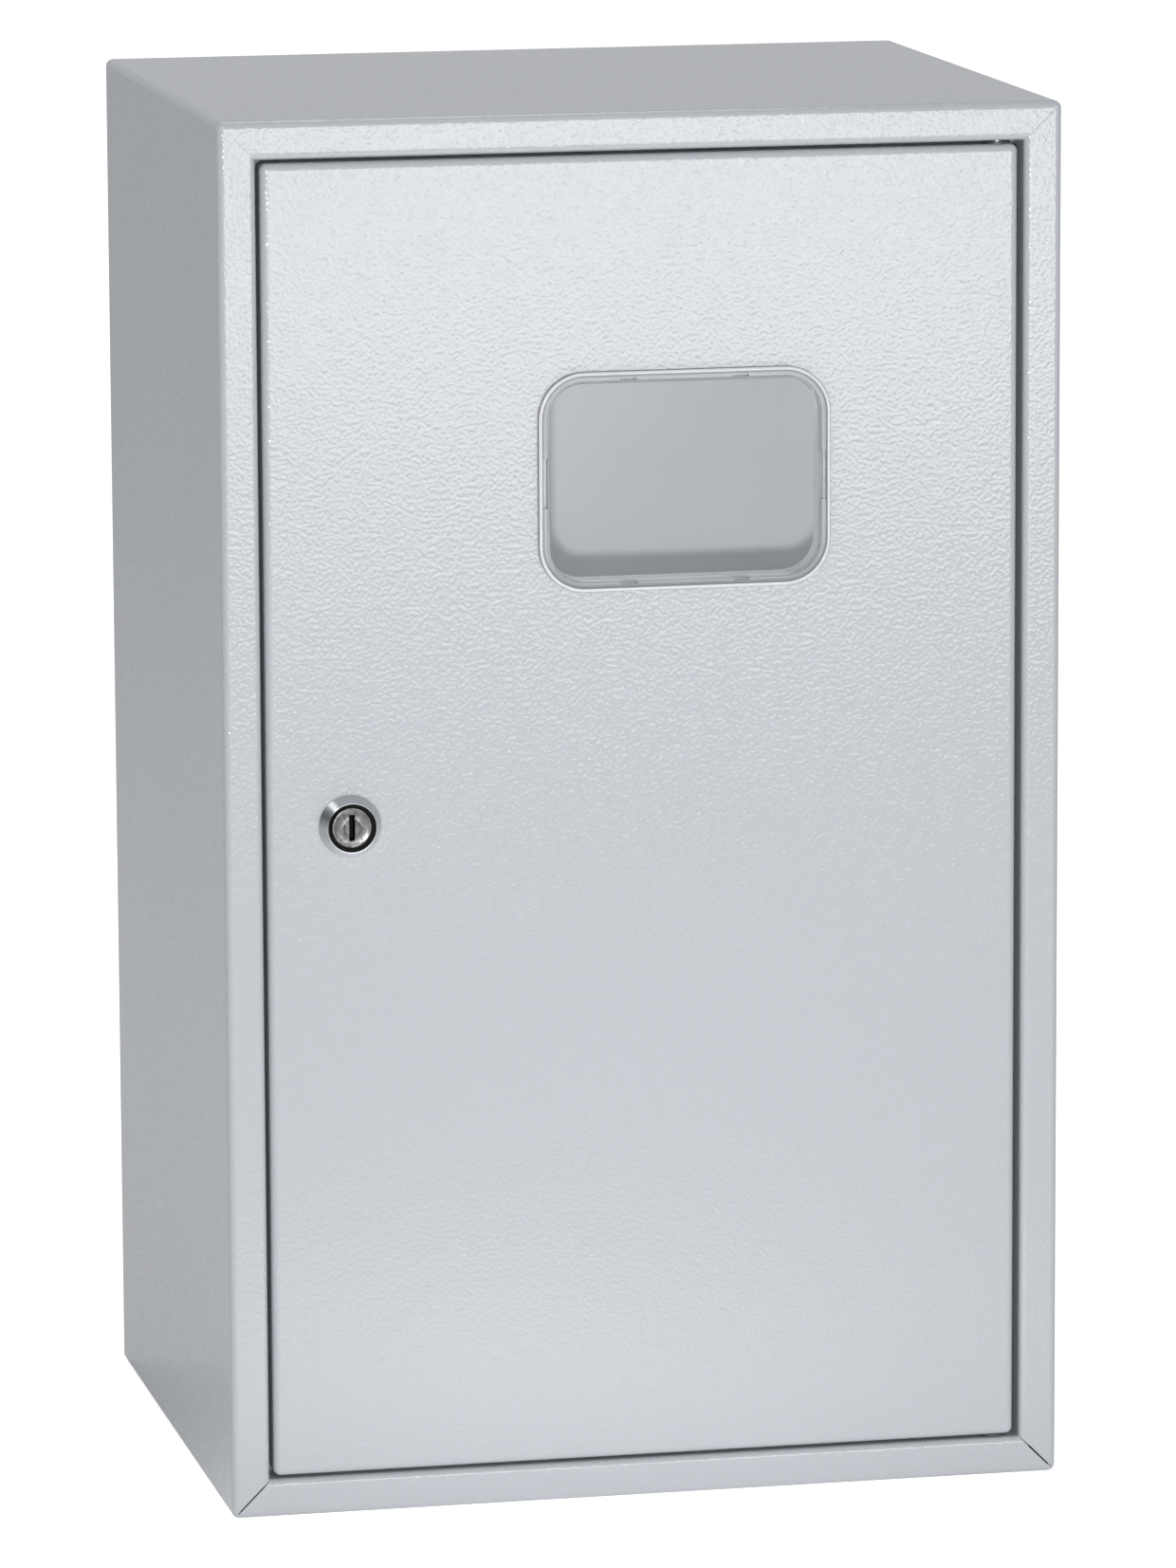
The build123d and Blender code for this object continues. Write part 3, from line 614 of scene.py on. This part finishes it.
@dataclass(frozen=True)
class SoftRubber:
    """Foamed or moulded dark polymer."""

    name: str
    colour: Colour
    light_colour: Colour
    roughness: Pair
    pore_size: float
    pore_depth: float
    gloss: float = 0.5

    def material(self, effects: Effects) -> Material:
        """Builds the material and returns it."""
        recipe = Recipe(self.name)
        clouds = recipe.effect(effects.mottle, Cloud_Size=self.pore_size * 12)
        recipe.set(Base_Color=recipe.bench.blend(clouds, self.colour, self.light_colour))
        recipe.set(Roughness=recipe.bench.spread(clouds, *self.roughness), Specular_IOR_Level=self.gloss)
        recipe.bump(recipe.effect(effects.grain, Grain_Size=self.pore_size, Ridge=1.0), self.pore_depth)
        return recipe.material


class Finishes:
    """Every finish of the enclosure, built once."""

    def __init__(self) -> None:
        """Builds the shared effects and the materials."""
        effects = Effects()
        self.powder = PowderCoat().material(effects)
        self.plate = PowderCoat(
            "plate_coat", (0.76, 0.785, 0.815), (0.72, 0.745, 0.775), (0.5, 0.6), 1.5 * MM, 0.0, 1.45
        ).material(effects)
        self.zinc = PlatedMetal(
            "bright_zinc", (0.6, 0.61, 0.62), (0.48, 0.49, 0.5), (0.22, 0.36)
        ).material(effects)
        self.galvanised = PlatedMetal(
            "galvanised_sheet", (0.55, 0.57, 0.58), (0.42, 0.44, 0.45), (0.3, 0.5), cloud_size=3 * MM
        ).material(effects)
        self.chrome = TurnedChrome().material(effects)
        self.nickel = PlatedMetal(
            "lock_nickel_plate", (0.24, 0.24, 0.24), (0.05, 0.05, 0.05), (0.2, 0.36), 0.02 * MM, 1.3 * MM
        ).material(effects)
        self.pane = ClearPane().material(effects)
        self.rim = ClearRim().material(effects)
        # Dark copies of the rim's plastic, for painted shade: a dark outline round the rim and in its groove,
        # and a grey band on the ledge.
        self.painted_rim_outline = ClearRim("clear_rim_painted_outline", (0.2, 0.205, 0.21), 0.25).material(effects)
        self.painted_ledge_shade = ClearRim("clear_rim_painted_ledge_shade", (0.46, 0.48, 0.5), 0.5).material(effects)
        self.foam = SoftRubber(
            "seal_foam_black", (0.02, 0.02, 0.021), (0.04, 0.04, 0.042), (0.75, 0.92), 0.5 * MM, 0.2 * MM
        ).material(effects)
        # Black finish for painted shade deep in the lock: the ring gap round the plug and the keyway.
        self.painted_shade_black = SoftRubber(
            "lock_painted_shade", (0.004,) * 3, (0.009,) * 3, (0.5, 0.7), 0.4 * MM, 0.01 * MM, gloss=0.08
        ).material(effects)
        self.nylon = SoftRubber(
            "bush_nylon_black", (0.03, 0.03, 0.032), (0.05, 0.05, 0.053), (0.35, 0.5), 0.8 * MM, 0.02 * MM
        ).material(effects)


def dress(material: Material, *nodes: str) -> None:
    """Gives CAD nodes, by name, their finish."""
    for node in nodes:
        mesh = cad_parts[node].data
        mesh.materials.clear()
        mesh.materials.append(material)
    log.info("%s on %s", material.name, ", ".join(nodes))


@dataclass(frozen=True)
class Thread:
    """A rolled thread, as rings, and the width of its hexagon across the flats."""

    radius: float
    pitch: float
    depth: float
    across: float
    crest: Pair = (0.4, 0.55)
    foot: float = 0.95
    tip: float = 0.8

    def rings(self, length: float) -> Profile:
        """Works out the rings from the root of a stud to its chamfered tip.

        Args:
            length: the stud's length.

        Returns:
            Radius and distance of each ring.
        """
        root = self.radius - self.depth
        rings: Profile = []
        for turn in range(int(length / self.pitch) - 1):
            start = turn * self.pitch
            rings += [(self.radius, start + share * self.pitch) for share in self.crest]
            rings.append((root, start + self.foot * self.pitch))
        return rings + [(root, length - self.crest[0] * self.pitch), (self.tip * root, length)]


M5 = Thread(2.5 * MM, 0.8 * MM, 0.4 * MM, 8 * MM)
M6 = Thread(3 * MM, 1 * MM, 0.5 * MM, 10 * MM)


def middles(low: float, high: float, half: float) -> list[float]:
    """Finds the middles of the one or two equal solids that fill a range.

    Args:
        low: the range's start.
        high: the range's end.
        half: half a solid's size.

    Returns:
        One middle, or two if the range is longer than a solid.
    """
    if high - low < 3 * half:
        return [(low + high) / 2]
    return [low + half, high - half]


def stations(node: str, half_sizes: Pair, facing: Facing) -> tuple[list[Point], float]:
    """Finds where the equal solids of a node stand.

    Args:
        node: the CAD node.
        half_sizes: half a solid's size across, along X and along the other direction.
        facing: the way that the solids point.

    Returns:
        The middle of each solid's base, and the solids' length.
    """
    low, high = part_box(node)
    columns = middles(low.x, high.x, half_sizes[0])
    if facing is Facing.UP:
        rows = middles(low.y, high.y, half_sizes[1])
        return [(x, y, low.z) for x in columns for y in rows], high.z - low.z
    rows = middles(low.z, high.z, half_sizes[1])
    base = high.y if facing is Facing.FRONT else low.y
    return [(x, base, z) for x in columns for z in rows], high.y - low.y


@dataclass(frozen=True)
class Hardware:
    """Zinc-plated studs, nuts and screws of one size."""

    finish: Material
    thread: Thread
    facing: Facing
    body: Body
    corner_cut: Pair = (0.475, 1.02)
    cut_deg: float = 30.0
    cone_past: float = 0.2 * MM
    overrun: float = 0.5 * MM
    bore_play: float = 0.05 * MM

    def studs(self, node: str) -> None:
        """Turns a threaded stud and copies it to the node's places."""
        places, length = stations(node, (self.thread.radius,) * 2, self.facing)
        piece = self.threaded(f"{node}_threaded", length)
        piece.repeat(places)
        piece.finish(self.finish, Slot.ZINC, self.body, node)

    def threaded(self, name: str, length: float) -> Blank:
        """Turns a threaded rod at the origin and returns it."""
        root = self.thread.radius - self.thread.depth
        piece = Blank.disc(name, root, ORIGIN, self.facing, sides=20)
        piece.turn(root, self.thread.rings(length))
        return piece

    def half_sizes(self) -> Pair:
        """Returns half the hexagon's size across its corners and across its flats."""
        return self.thread.across / math.sqrt(3), self.thread.across / 2

    def hexagon(self, name: str, height: float, sunk: bool) -> Blank:
        """Shapes a hexagon with turned-off corners at the origin.

        Args:
            name: the piece's name.
            height: its height.
            sunk: whether its first face is turned off as well as its outer face.

        Returns:
            The blank.
        """
        corner, face = self.half_sizes()[0], self.corner_cut[0] * self.thread.across
        piece = Blank.disc(name, corner, ORIGIN, self.facing, sides=6)
        axis = "Z" if self.facing is Facing.UP else "Y"
        bpy.ops.transform.rotate(value=math.pi / 6, orient_axis=axis, center_override=ORIGIN)
        piece.push(height)
        wide, past, slope = self.corner_cut[1] * corner, self.cone_past, math.tan(math.radians(self.cut_deg))
        drop, tip = (wide - face) * slope + past, face - past / slope
        before = tuple(-past * part for part in self.facing.value[1])
        start, end = tip if sunk else wide, height + 2 * past
        turned = Blank.disc("turned_off", start, before, self.facing, sides=48)
        turned.turn(start, [(wide, drop), (wide, end - drop), (tip, end)])
        piece.carve(turned, "INTERSECT")
        return piece

    def nuts(self, node: str) -> None:
        """Shapes a nut and copies it to the node's places."""
        places, height = stations(node, self.half_sizes(), self.facing)
        piece = self.hexagon(f"{node}_turned", height, sunk=True)
        start = tuple(-self.overrun * part for part in self.facing.value[1])
        drill = Blank.disc("drill", self.thread.radius + self.bore_play, start, self.facing, sides=32)
        drill.push(height + 2 * self.overrun)
        piece.carve(drill)
        piece.repeat(places)
        piece.finish(self.finish, Slot.ZINC, self.body, node)

    def screw(self, node: str, head: float) -> None:
        """Joins a hexagon head and its threaded shank.

        Args:
            node: the CAD node.
            head: the head's height.
        """
        (place, *_), length = stations(node, self.half_sizes(), self.facing)
        shank = self.threaded("shank", length - head + self.overrun)
        shank.repeat([place])
        shank.close()
        piece = self.hexagon(f"{node}_turned", head, sunk=False)
        seat = Vector(place) + Vector(self.facing.value[1]) * (length - head)
        piece.repeat([tuple(seat)])
        piece.merge([shank])
        piece.finish(self.finish, Slot.ZINC, self.body, node)


@dataclass
class CabinetShell:
    """The folded housing, its back panel, its hinges' fixed halves and the cable entry."""

    coats: Finishes
    plate_thread: Thread = M6
    entry_thread: Thread = M5

    def build(self) -> None:
        """Builds what the shell adds to its CAD nodes and dresses them."""
        dress(self.coats.powder, "housing_wrap", "back_panel", "entry_plate")
        dress(self.coats.plate, "mounting_plate")
        dress(self.coats.galvanised, "hinge_plate_upper", "hinge_plate_lower")
        dress(self.coats.zinc, "hinge_pin_upper", "hinge_pin_lower")
        dress(self.coats.zinc, "plate_spacers", "plate_washers", "earth_washer")
        dress(self.coats.foam, "entry_seal")
        large = Hardware(self.coats.zinc, self.plate_thread, Facing.FRONT, Body.HOUSING)
        for studs, nuts in (("plate_studs", "plate_nuts"), ("earth_stud", "earth_nut")):
            large.studs(studs)
            large.nuts(nuts)
        small = Hardware(self.coats.zinc, self.entry_thread, Facing.UP, Body.HOUSING)
        small.studs("entry_studs")
        small.nuts("entry_nuts")


@dataclass
class DoorLeaf:
    """The door pan with its seal, bushes and earth terminal."""

    coats: Finishes
    seal_width: float = 6 * MM
    seal_round: float = 1.4 * MM
    earth_thread: Thread = M6

    def build(self) -> None:
        """Builds what the door adds to its CAD nodes and dresses them."""
        dress(self.coats.powder, "door_panel")
        dress(self.coats.nylon, "hinge_bush_upper", "hinge_bush_lower")
        dress(self.coats.zinc, "door_earth_washer")
        earth = Hardware(self.coats.zinc, self.earth_thread, Facing.BACK, Body.DOOR)
        earth.studs("door_earth_stud")
        earth.nuts("door_earth_nut")
        self.build_seal()

    def build_seal(self) -> None:
        """Shapes the foam strip: a flat frame with rounded shoulders."""
        low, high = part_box("door_seal")
        middle = Vector(((low.x + high.x) / 2, low.y, (low.z + high.z) / 2))
        size = (high.x - low.x, high.z - low.z)
        piece = Blank.sheet("door_seal_strip", size, middle, Facing.BACK)
        piece.step_in(self.seal_width)
        piece.pick_faces(lambda place, normal: (place - middle).length < self.seal_width)
        bpy.ops.mesh.delete(type="FACE")
        bpy.ops.mesh.select_all(action="SELECT")
        piece.push(high.y - low.y)
        piece.tidy()
        piece.pick_edges(lambda one, other: min(one.y, other.y) > high.y - NEAR)
        bpy.ops.mesh.bevel(offset=self.seal_round, segments=5, affect="EDGES")
        piece.finish(self.coats.foam, Slot.FOAM, Body.DOOR, "door_seal")


@dataclass
class InspectionWindow:
    """One clear moulding: a bead round its edge, a ledge, the pane, and a skirt with hooks behind."""

    coats: Finishes
    centre: Point = (14.5 * MM, FRONT_Y, 122 * MM)
    size: Pair = (108 * MM, 80 * MM)
    corner: float = 17 * MM
    bead_round: float = 1.0 * MM
    bead_steps: int = 6
    bead_height: float = 2.0 * MM
    ledge_fall: float = 0.8 * MM
    ledge_steps: int = 5
    ledge_width: float = 1.5 * MM
    groove: float = 0.25 * MM
    pane_height: float = 1.4 * MM
    seat_width: float = 2.8 * MM
    skirt_wall: float = 1.6 * MM
    skirt_depth: float = 7.5 * MM
    slot_inset: Pair = (2.7 * MM, 2.9 * MM)
    side_slot: Pair = (2.0 * MM, 18 * MM)
    end_slot: Pair = (6 * MM, 0.9 * MM)
    end_slot_spacing: float = 41.5 * MM
    slot_depth: float = 3 * MM
    slot_overrun: float = 4 * MM
    edge_ring: float = 0.2 * MM
    crown_share: float = 1.25
    barb: Triple = (0.9 * MM, 3.0 * MM, 1.6 * MM)

    def build(self) -> None:
        """Builds the moulding and puts it in the door."""
        piece = Blank.sheet("window_moulding", self.size, self.centre, Facing.FRONT, self.corner)
        piece.push(self.bead_height - self.bead_round)
        front = piece.reach
        piece.pick_faces(lambda middle, normal: normal.y < -STEEP and middle.y < FRONT_Y - front / 2)
        piece.round_over(self.bead_round, self.bead_steps, rising=True)
        piece.round_over(self.ledge_fall, self.ledge_steps, rising=False)
        piece.step_in(self.ledge_width)
        piece.step_in(self.groove, -self.groove)
        ledge = self.bead_height - self.ledge_fall
        piece.step_in(self.groove, self.pane_height - ledge + self.groove)
        piece.tidy()
        piece.pick_faces(lambda middle, normal: normal.y > STEEP and abs(middle.y - FRONT_Y) < NEAR)
        piece.step_in(self.seat_width)
        piece.step_in(0.0, self.skirt_depth)
        piece.step_in(self.skirt_wall)
        piece.step_in(0.0, -self.skirt_depth)
        self.cut_slots(piece)
        self.add_barbs(piece)
        self.share_out(piece)
        piece.finish(self.coats.rim, Slot.CLEAR, Body.DOOR, "window_pane")

    def cut_slots(self, piece: Blank) -> None:
        """Cuts the core slots in front of the hooks into the moulding."""
        x, y, z = self.centre
        across = self.size[0] / 2 - self.slot_inset[0]
        rise = self.size[1] / 2 - self.slot_inset[1]
        places = [(x + side * across, z, self.side_slot) for side in (-1, 1)]
        for side in (-1, 1):
            along = x + side * self.end_slot_spacing / 2
            places += [(along, z + end * rise, self.end_slot) for end in (-1, 1)]
        for number, (slot_x, slot_z, size) in enumerate(places):
            cutter = Blank.sheet(f"slot_{number}", size, (slot_x, y + self.slot_depth, slot_z), Facing.FRONT)
            cutter.push(self.slot_depth + self.slot_overrun)
            piece.carve(cutter)

    def add_barbs(self, piece: Blank) -> None:
        """Adds the snap hooks outside the moulding's skirt."""
        x, y, z = self.centre
        reach, length, depth = self.barb
        sliver = 2 * NEAR
        growth = reach / sliver
        barbs = []
        for side in (-1, 1):
            wall = x + side * (self.size[0] / 2 - self.seat_width)
            root = (wall + side * sliver / 2, y + depth + length, z)
            barbs.append(self.wedge((sliver, self.side_slot[1]), root, (wall, z), (growth, 1.0, 1.0)))
            for shift in (-1, 1):
                wall = z + side * (self.size[1] / 2 - self.seat_width)
                along = x + shift * self.end_slot_spacing / 2
                root = (along, y + depth + length, wall + side * sliver / 2)
                size = (self.end_slot[0], sliver)
                barbs.append(self.wedge(size, root, (along, wall), (1.0, 1.0, growth)))
        piece.edit()
        piece.merge(barbs)

    def wedge(self, size: Pair, root: Point, wall: Pair, growth: Point) -> Blank:
        """Draws out one barb from the thin end on the skirt to its catch.

        Args:
            size: the thin end's size.
            root: the thin end's middle.
            wall: where the skirt's face is, in X and Z.
            growth: how much the catch is larger than the thin end.

        Returns:
            The barb, out of edit mode.
        """
        barb = Blank.sheet("barb", size, root, Facing.FRONT)
        barb.push(self.barb[1])
        bpy.ops.transform.resize(value=growth, center_override=(wall[0], root[1] - self.barb[1], wall[1]))
        barb.tidy()
        barb.close()
        return barb

    def share_out(self, piece: Blank) -> None:
        """Gives the moulding's flat pane and the rings of its thick rim their own finishes, with painted
        shade as a dark outline ring, a grey ledge ring and a dark groove ring.
        """
        piece.tidy()
        piece.close()
        mesh = piece.item.data
        finishes = [self.coats.rim, self.coats.painted_rim_outline, self.coats.painted_ledge_shade, self.coats.pane]
        for finish in finishes:
            mesh.materials.append(finish)
        rim, edge, ledge, pane = range(len(finishes))
        ledge_end = self.bead_round + self.ledge_fall + self.ledge_width
        # Rings by inset: painted shade on the outer edge, plain rim over the bead, painted shade on the ledge
        # and in the groove.
        rings = [(self.edge_ring, edge), (self.crown_share * self.bead_round, rim)]
        rings += [(ledge_end, ledge), (ledge_end + self.groove, edge)]
        broad = self.size[0] * self.size[1] / 3
        for face in mesh.polygons:
            inset = self.inset(face.center)
            if face.area > broad:
                face.material_index = pane
            elif face.center.y < self.centre[1]:
                face.material_index = next((index for limit, index in rings if inset < limit), rim)
        piece.edit()

    def inset(self, place: Vector) -> float:
        """Works out how far a place lies inside the moulding's outline."""
        x, _, z = self.centre
        across = abs(place.x - x) - self.size[0] / 2 + self.corner
        rise = abs(place.z - z) - self.size[1] / 2 + self.corner
        return self.corner - math.hypot(max(across, 0.0), max(rise, 0.0)) - min(max(across, rise), 0.0)


# Turned profiles of the lock: radius and height over the door, in mm.
ROSETTE_MM: Profile = [
    (9.0, 0.0), (11.15, 0.0), (11.4, 0.2), (11.4, 0.8), (11.3, 1.0), (9.4, 4.6), (9.28, 4.82), (9.12, 4.95),
    (8.98, 5.0), (8.84, 4.95), (8.75, 4.82), (8.72, 4.6), (8.7, 2.6), (7.5, 2.6), (7.5, -2.9), (6.1, -2.9),
]
PLUG_MM: Profile = [
    (6.0, -2.8), (7.4, -2.8), (7.4, 3.7), (7.32, 3.95), (7.1, 4.15), (6.85, 4.2), (6.5, 4.18), (6.3, 4.06),
    (3.25, 4.0), (3.05, 4.08), (2.95, 4.4), (2.8, 4.55), (2.6, 4.6), (2.4, 4.55), (2.25, 4.35), (0.5, 4.3),
]


@dataclass
class CamLock:
    """Cam lock: conical rosette and threaded barrel in the door, and the plug that turns in it."""

    coats: Finishes
    centre: Point = (LOCK_AXIS[0], FRONT_Y, LOCK_AXIS[1])
    bore: float = 6.1 * MM
    thread: Thread = Thread(9.0 * MM, 1.0 * MM, 0.5 * MM, 22 * MM)
    thread_start: float = 0.4 * MM
    thread_end: float = 2.0 * MM
    thread_shares: Pair = (0.2, 0.6)
    body_length: float = 18.0 * MM
    flats: float = 16.0 * MM
    flat_waste: Pair = (24 * MM, 4 * MM)
    overrun: float = 1 * MM
    shade_ring_mm: Triple = (7.3, 8.6, 4.4)
    plug_radius: float = 6.0 * MM
    plug_start: float = 18.4 * MM
    key_slot: Pair = (2.1 * MM, 9.4 * MM)
    key_floor: float = 0.8 * MM
    key_depth: float = 4.7 * MM
    key_flare: Pair = (0.45 * MM, 1.06)
    shade_keyway_mm: Triple = (1.06, -1.0, 3.9)
    square_half: float = 4.0 * MM
    square_start: float = 20.3 * MM
    square_length: float = 2.0 * MM
    screw_thread: Thread = M5
    screw_head: float = 3.5 * MM

    def build(self) -> None:
        """Builds the barrel and the plug and dresses the other nodes."""
        self.build_barrel()
        self.build_plug()
        dress(self.coats.zinc, "lock_washer", "lock_cam", "cam_washer")
        Hardware(self.coats.zinc, self.thread, Facing.BACK, Body.DOOR).nuts("lock_nut")
        screw = Hardware(self.coats.zinc, self.screw_thread, Facing.BACK, Body.LOCK)
        screw.screw("cam_screw", self.screw_head)

    def build_barrel(self) -> None:
        """Turns the rosette and the threaded barrel, then mills the flats."""
        x, y, z = self.centre
        back = (x, y + self.body_length, z)
        piece = Blank.disc("lock_rosette", self.bore, back, Facing.FRONT, sides=96, filled=False)
        top, pitch = self.thread.radius, self.thread.pitch
        root = top - self.thread.depth
        crest, foot = (share * pitch for share in self.thread_shares)
        rings: Profile = [(root, 0.0)]
        for turn in range(int((self.body_length - self.thread_end) / pitch)):
            start = self.thread_start + turn * pitch
            rings += [(top, start), (top, start + crest), (root, start + foot)]
        piece.turn(self.bore, rings)
        piece.turn(root, [(radius * MM, self.body_length + rise * MM) for radius, rise in ROSETTE_MM])
        piece.turn(self.bore, [(self.bore, 0.0)])
        length = self.body_length + self.overrun
        for side in (-1, 1):
            place = (x, y + length, z + side * (self.flats + self.flat_waste[1]) / 2)
            cutter = Blank.sheet(f"flat_{side}", self.flat_waste, place, Facing.FRONT)
            cutter.push(length)
            piece.carve(cutter)
        # Painted shade: the ring gap between rosette and plug is blackened.
        near, far, high = self.shade_ring_mm
        self.paint_shade(
            piece, self.coats.chrome, lambda radius, rise, side: near < radius < far and rise < high
        )
        piece.finish(self.coats.chrome, Slot.CHROME, Body.DOOR, "lock_barrel")

    def build_plug(self) -> None:
        """Turns the plug with its guide ring, cuts the keyway and adds the cam's square."""
        x, y, z = self.centre
        start = self.plug_start
        piece = Blank.disc("lock_core", self.plug_radius, (x, y + start, z), Facing.FRONT, sides=72)
        piece.turn(self.plug_radius, [(radius * MM, start + rise * MM) for radius, rise in PLUG_MM])
        cutter = Blank.sheet("keyway", self.key_slot, (x, y + self.key_floor, z), Facing.FRONT)
        cutter.push(self.key_depth)
        cutter.push(self.key_flare[0])
        cutter.swell(self.key_flare[1])
        cutter.push(2 * self.overrun)
        piece.carve(cutter)
        corner, base = self.square_half * math.sqrt(2), (x, y + self.square_start, z)
        square = Blank.disc("cam_square", corner, base, Facing.FRONT, sides=4)
        bpy.ops.transform.rotate(value=math.pi / 4, orient_axis="Y", center_override=square.origin)
        square.push(self.square_length)
        square.tidy()
        square.close()
        piece.merge([square])
        # Painted shade: the keyway's walls are blackened.
        half, low, high = self.shade_keyway_mm
        self.paint_shade(
            piece, self.coats.nickel, lambda radius, rise, side: abs(side) < half and low < rise < high
        )
        piece.finish(self.coats.nickel, Slot.NICKEL, Body.LOCK, "lock_plug")

    def paint_shade(self, piece: Blank, metal: Material, deep: Callable[[float, float, float], bool]) -> None:
        """Paints shade on the faces that lie deep inside: a black finish where the recess and the keyway fall
        into shadow.

        Args:
            piece: the turned piece.
            metal: the finish of the rest.
            deep: tests a face's distance from the axis, height over the door and shift aside, in mm.
        """
        piece.tidy()
        piece.close()
        mesh = piece.item.data
        mesh.materials.append(metal)
        mesh.materials.append(self.coats.painted_shade_black)
        for face in mesh.polygons:
            place = face.center - Vector(self.centre)
            inside = deep(math.hypot(place.x, place.z) / MM, -place.y / MM, place.x / MM)
            face.material_index = 1 if inside else 0
        piece.edit()


class Softbox(Enum):
    """Lights: place, aim, size and the brightness that each gives what it faces."""

    FRONT = ((0.28, -1.45, 0.07), (0.28, 0.0, 0.07), (0.75, 0.32), 0.122)
    UPPER = ((0.28, -1.5, 0.2), (0.28, 0.0, 0.2), (0.75, 0.3), 0.05)
    KEY = ((-0.57, -2.75, 0.38), (0.0, -0.25, 0.05), (0.04, 0.04), 0.5)
    TOP = ((-0.1, 0.45, 1.8), (0.0, -0.1, 0.25), (1.2, 0.9), 0.27)


@dataclass(frozen=True)
class Studio:
    """Floor, lights and camera."""

    image_height_px: float = 1653.0
    focal_px: float = 9140.0
    azimuth_deg: float = -12.07
    elevation_deg: float = 10.08
    roll_deg: float = -0.26
    camera_place: Point = (-0.6676, -3.2712, 0.5609)
    sensor: float = 36.0
    floor_reach: float = 40.0
    floor_tones: tuple[Colour, Colour] = ((0.8, 0.8, 0.8), (0.82, 0.82, 0.82))
    floor_glow: Pair = (0.012, 1.8)
    glow_centre: Pair = (-0.01, -0.48)
    white_lift: float = 0.62
    glow_reach: float = 0.46
    ambient: float = 0.6
    ambient_tint: Colour = (0.965, 0.983, 1.0)
    backdrop: float = 1.1

    def build(self) -> None:
        """Makes the floor, the world, the lights and the camera."""
        self.add_floor()
        self.light_world()
        for box in Softbox:
            self.add_softbox(box)
        self.add_camera()

    def add_floor(self) -> None:
        """Lays a pale floor under the enclosure, with a glow in front of it that the door mirrors."""
        base = CAD_BOX[0].z
        bpy.ops.object.select_all(action="DESELECT")
        bpy.ops.mesh.primitive_plane_add(size=self.floor_reach, location=(0.0, 0.0, base))
        floor = bpy.context.active_object
        floor.name = "studio_floor"
        recipe = Recipe("pale_floor")
        bench = recipe.bench
        cloud = bench.add("TexNoise", {"Vector": recipe.position, "Scale": 1.5, "Detail": 2.0})
        scale = 1 / self.glow_reach
        shift = (-self.glow_centre[0] * scale, -self.glow_centre[1] * scale, 0.0)
        near = bench.add("Mapping", {0: recipe.position, 1: shift, 3: (scale,) * 3})
        spot = bench.add("TexGradient", {0: near.outputs[0]}, gradient_type="QUADRATIC_SPHERE")
        recipe.set(Base_Color=bench.blend(cloud.outputs[0], *self.floor_tones))
        seen = bench.math("MULTIPLY", bench.add("LightPath").outputs["Is Camera Ray"], self.white_lift)
        glow = bench.math("ADD", bench.spread(spot.outputs[1], *self.floor_glow), seen)
        recipe.set(Emission_Color=glow, Emission_Strength=1.0)
        recipe.set(Roughness=0.9, Specular_IOR_Level=0.1)
        floor.data.materials.append(recipe.material)

    def light_world(self) -> None:
        """Surrounds the scene with even light, before a white backdrop."""
        world = bpy.data.worlds.new("studio_world")
        world.use_nodes = True
        bench = Bench(world.node_tree)
        background = world.node_tree.nodes["Background"]
        bench.feed(background, "Color", (*self.ambient_tint, 1.0))
        seen = bench.add("LightPath").outputs["Is Camera Ray"]
        bench.feed(background, "Strength", bench.spread(seen, self.ambient, self.backdrop))
        bpy.context.scene.world = world
        bpy.context.scene.view_settings.view_transform = "Standard"

    def add_softbox(self, box: Softbox) -> None:
        """Hangs a soft rectangular light that the camera doesn't see."""
        place, aim, size, brightness = box.value
        throw = Vector(aim) - Vector(place)
        lamp = bpy.data.lights.new(box.name.lower(), "AREA")
        lamp.shape = "RECTANGLE"
        lamp.size, lamp.size_y = size
        lamp.energy = brightness * math.pi**2 * throw.length_squared
        holder = bpy.data.objects.new(lamp.name, lamp)
        holder.location = place
        holder.rotation_mode = "QUATERNION"
        holder.rotation_quaternion = throw.to_track_quat("-Z", "Y")
        holder.visible_camera = False
        bpy.context.scene.collection.objects.link(holder)

    def add_camera(self) -> None:
        """Sets the camera where the photograph was taken from."""
        lens = bpy.data.cameras.new("camera")
        lens.sensor_width = self.sensor
        lens.lens = self.focal_px / self.image_height_px * self.sensor
        lens.clip_end = 100.0
        camera = bpy.data.objects.new("camera", lens)
        turn, tilt = math.radians(self.azimuth_deg), math.radians(self.elevation_deg)
        ahead = Vector((-math.sin(turn) * math.cos(tilt), math.cos(turn) * math.cos(tilt), -math.sin(tilt)))
        level = ahead.to_track_quat("-Z", "Y")
        camera.location = self.camera_place
        camera.rotation_mode = "QUATERNION"
        camera.rotation_quaternion = level @ Quaternion((0.0, 0.0, 1.0), math.radians(self.roll_deg))
        bpy.context.scene.collection.objects.link(camera)
        bpy.context.scene.camera = camera


def main() -> None:
    """Builds and dresses every sub-assembly, then the studio."""
    logging.basicConfig(level=logging.INFO, format="%(name)s: %(message)s")
    finishes = Finishes()
    for assembly in (CabinetShell, DoorLeaf, InspectionWindow, CamLock):
        assembly(finishes).build()
    Studio().build()


if __name__ == "__main__":
    main()
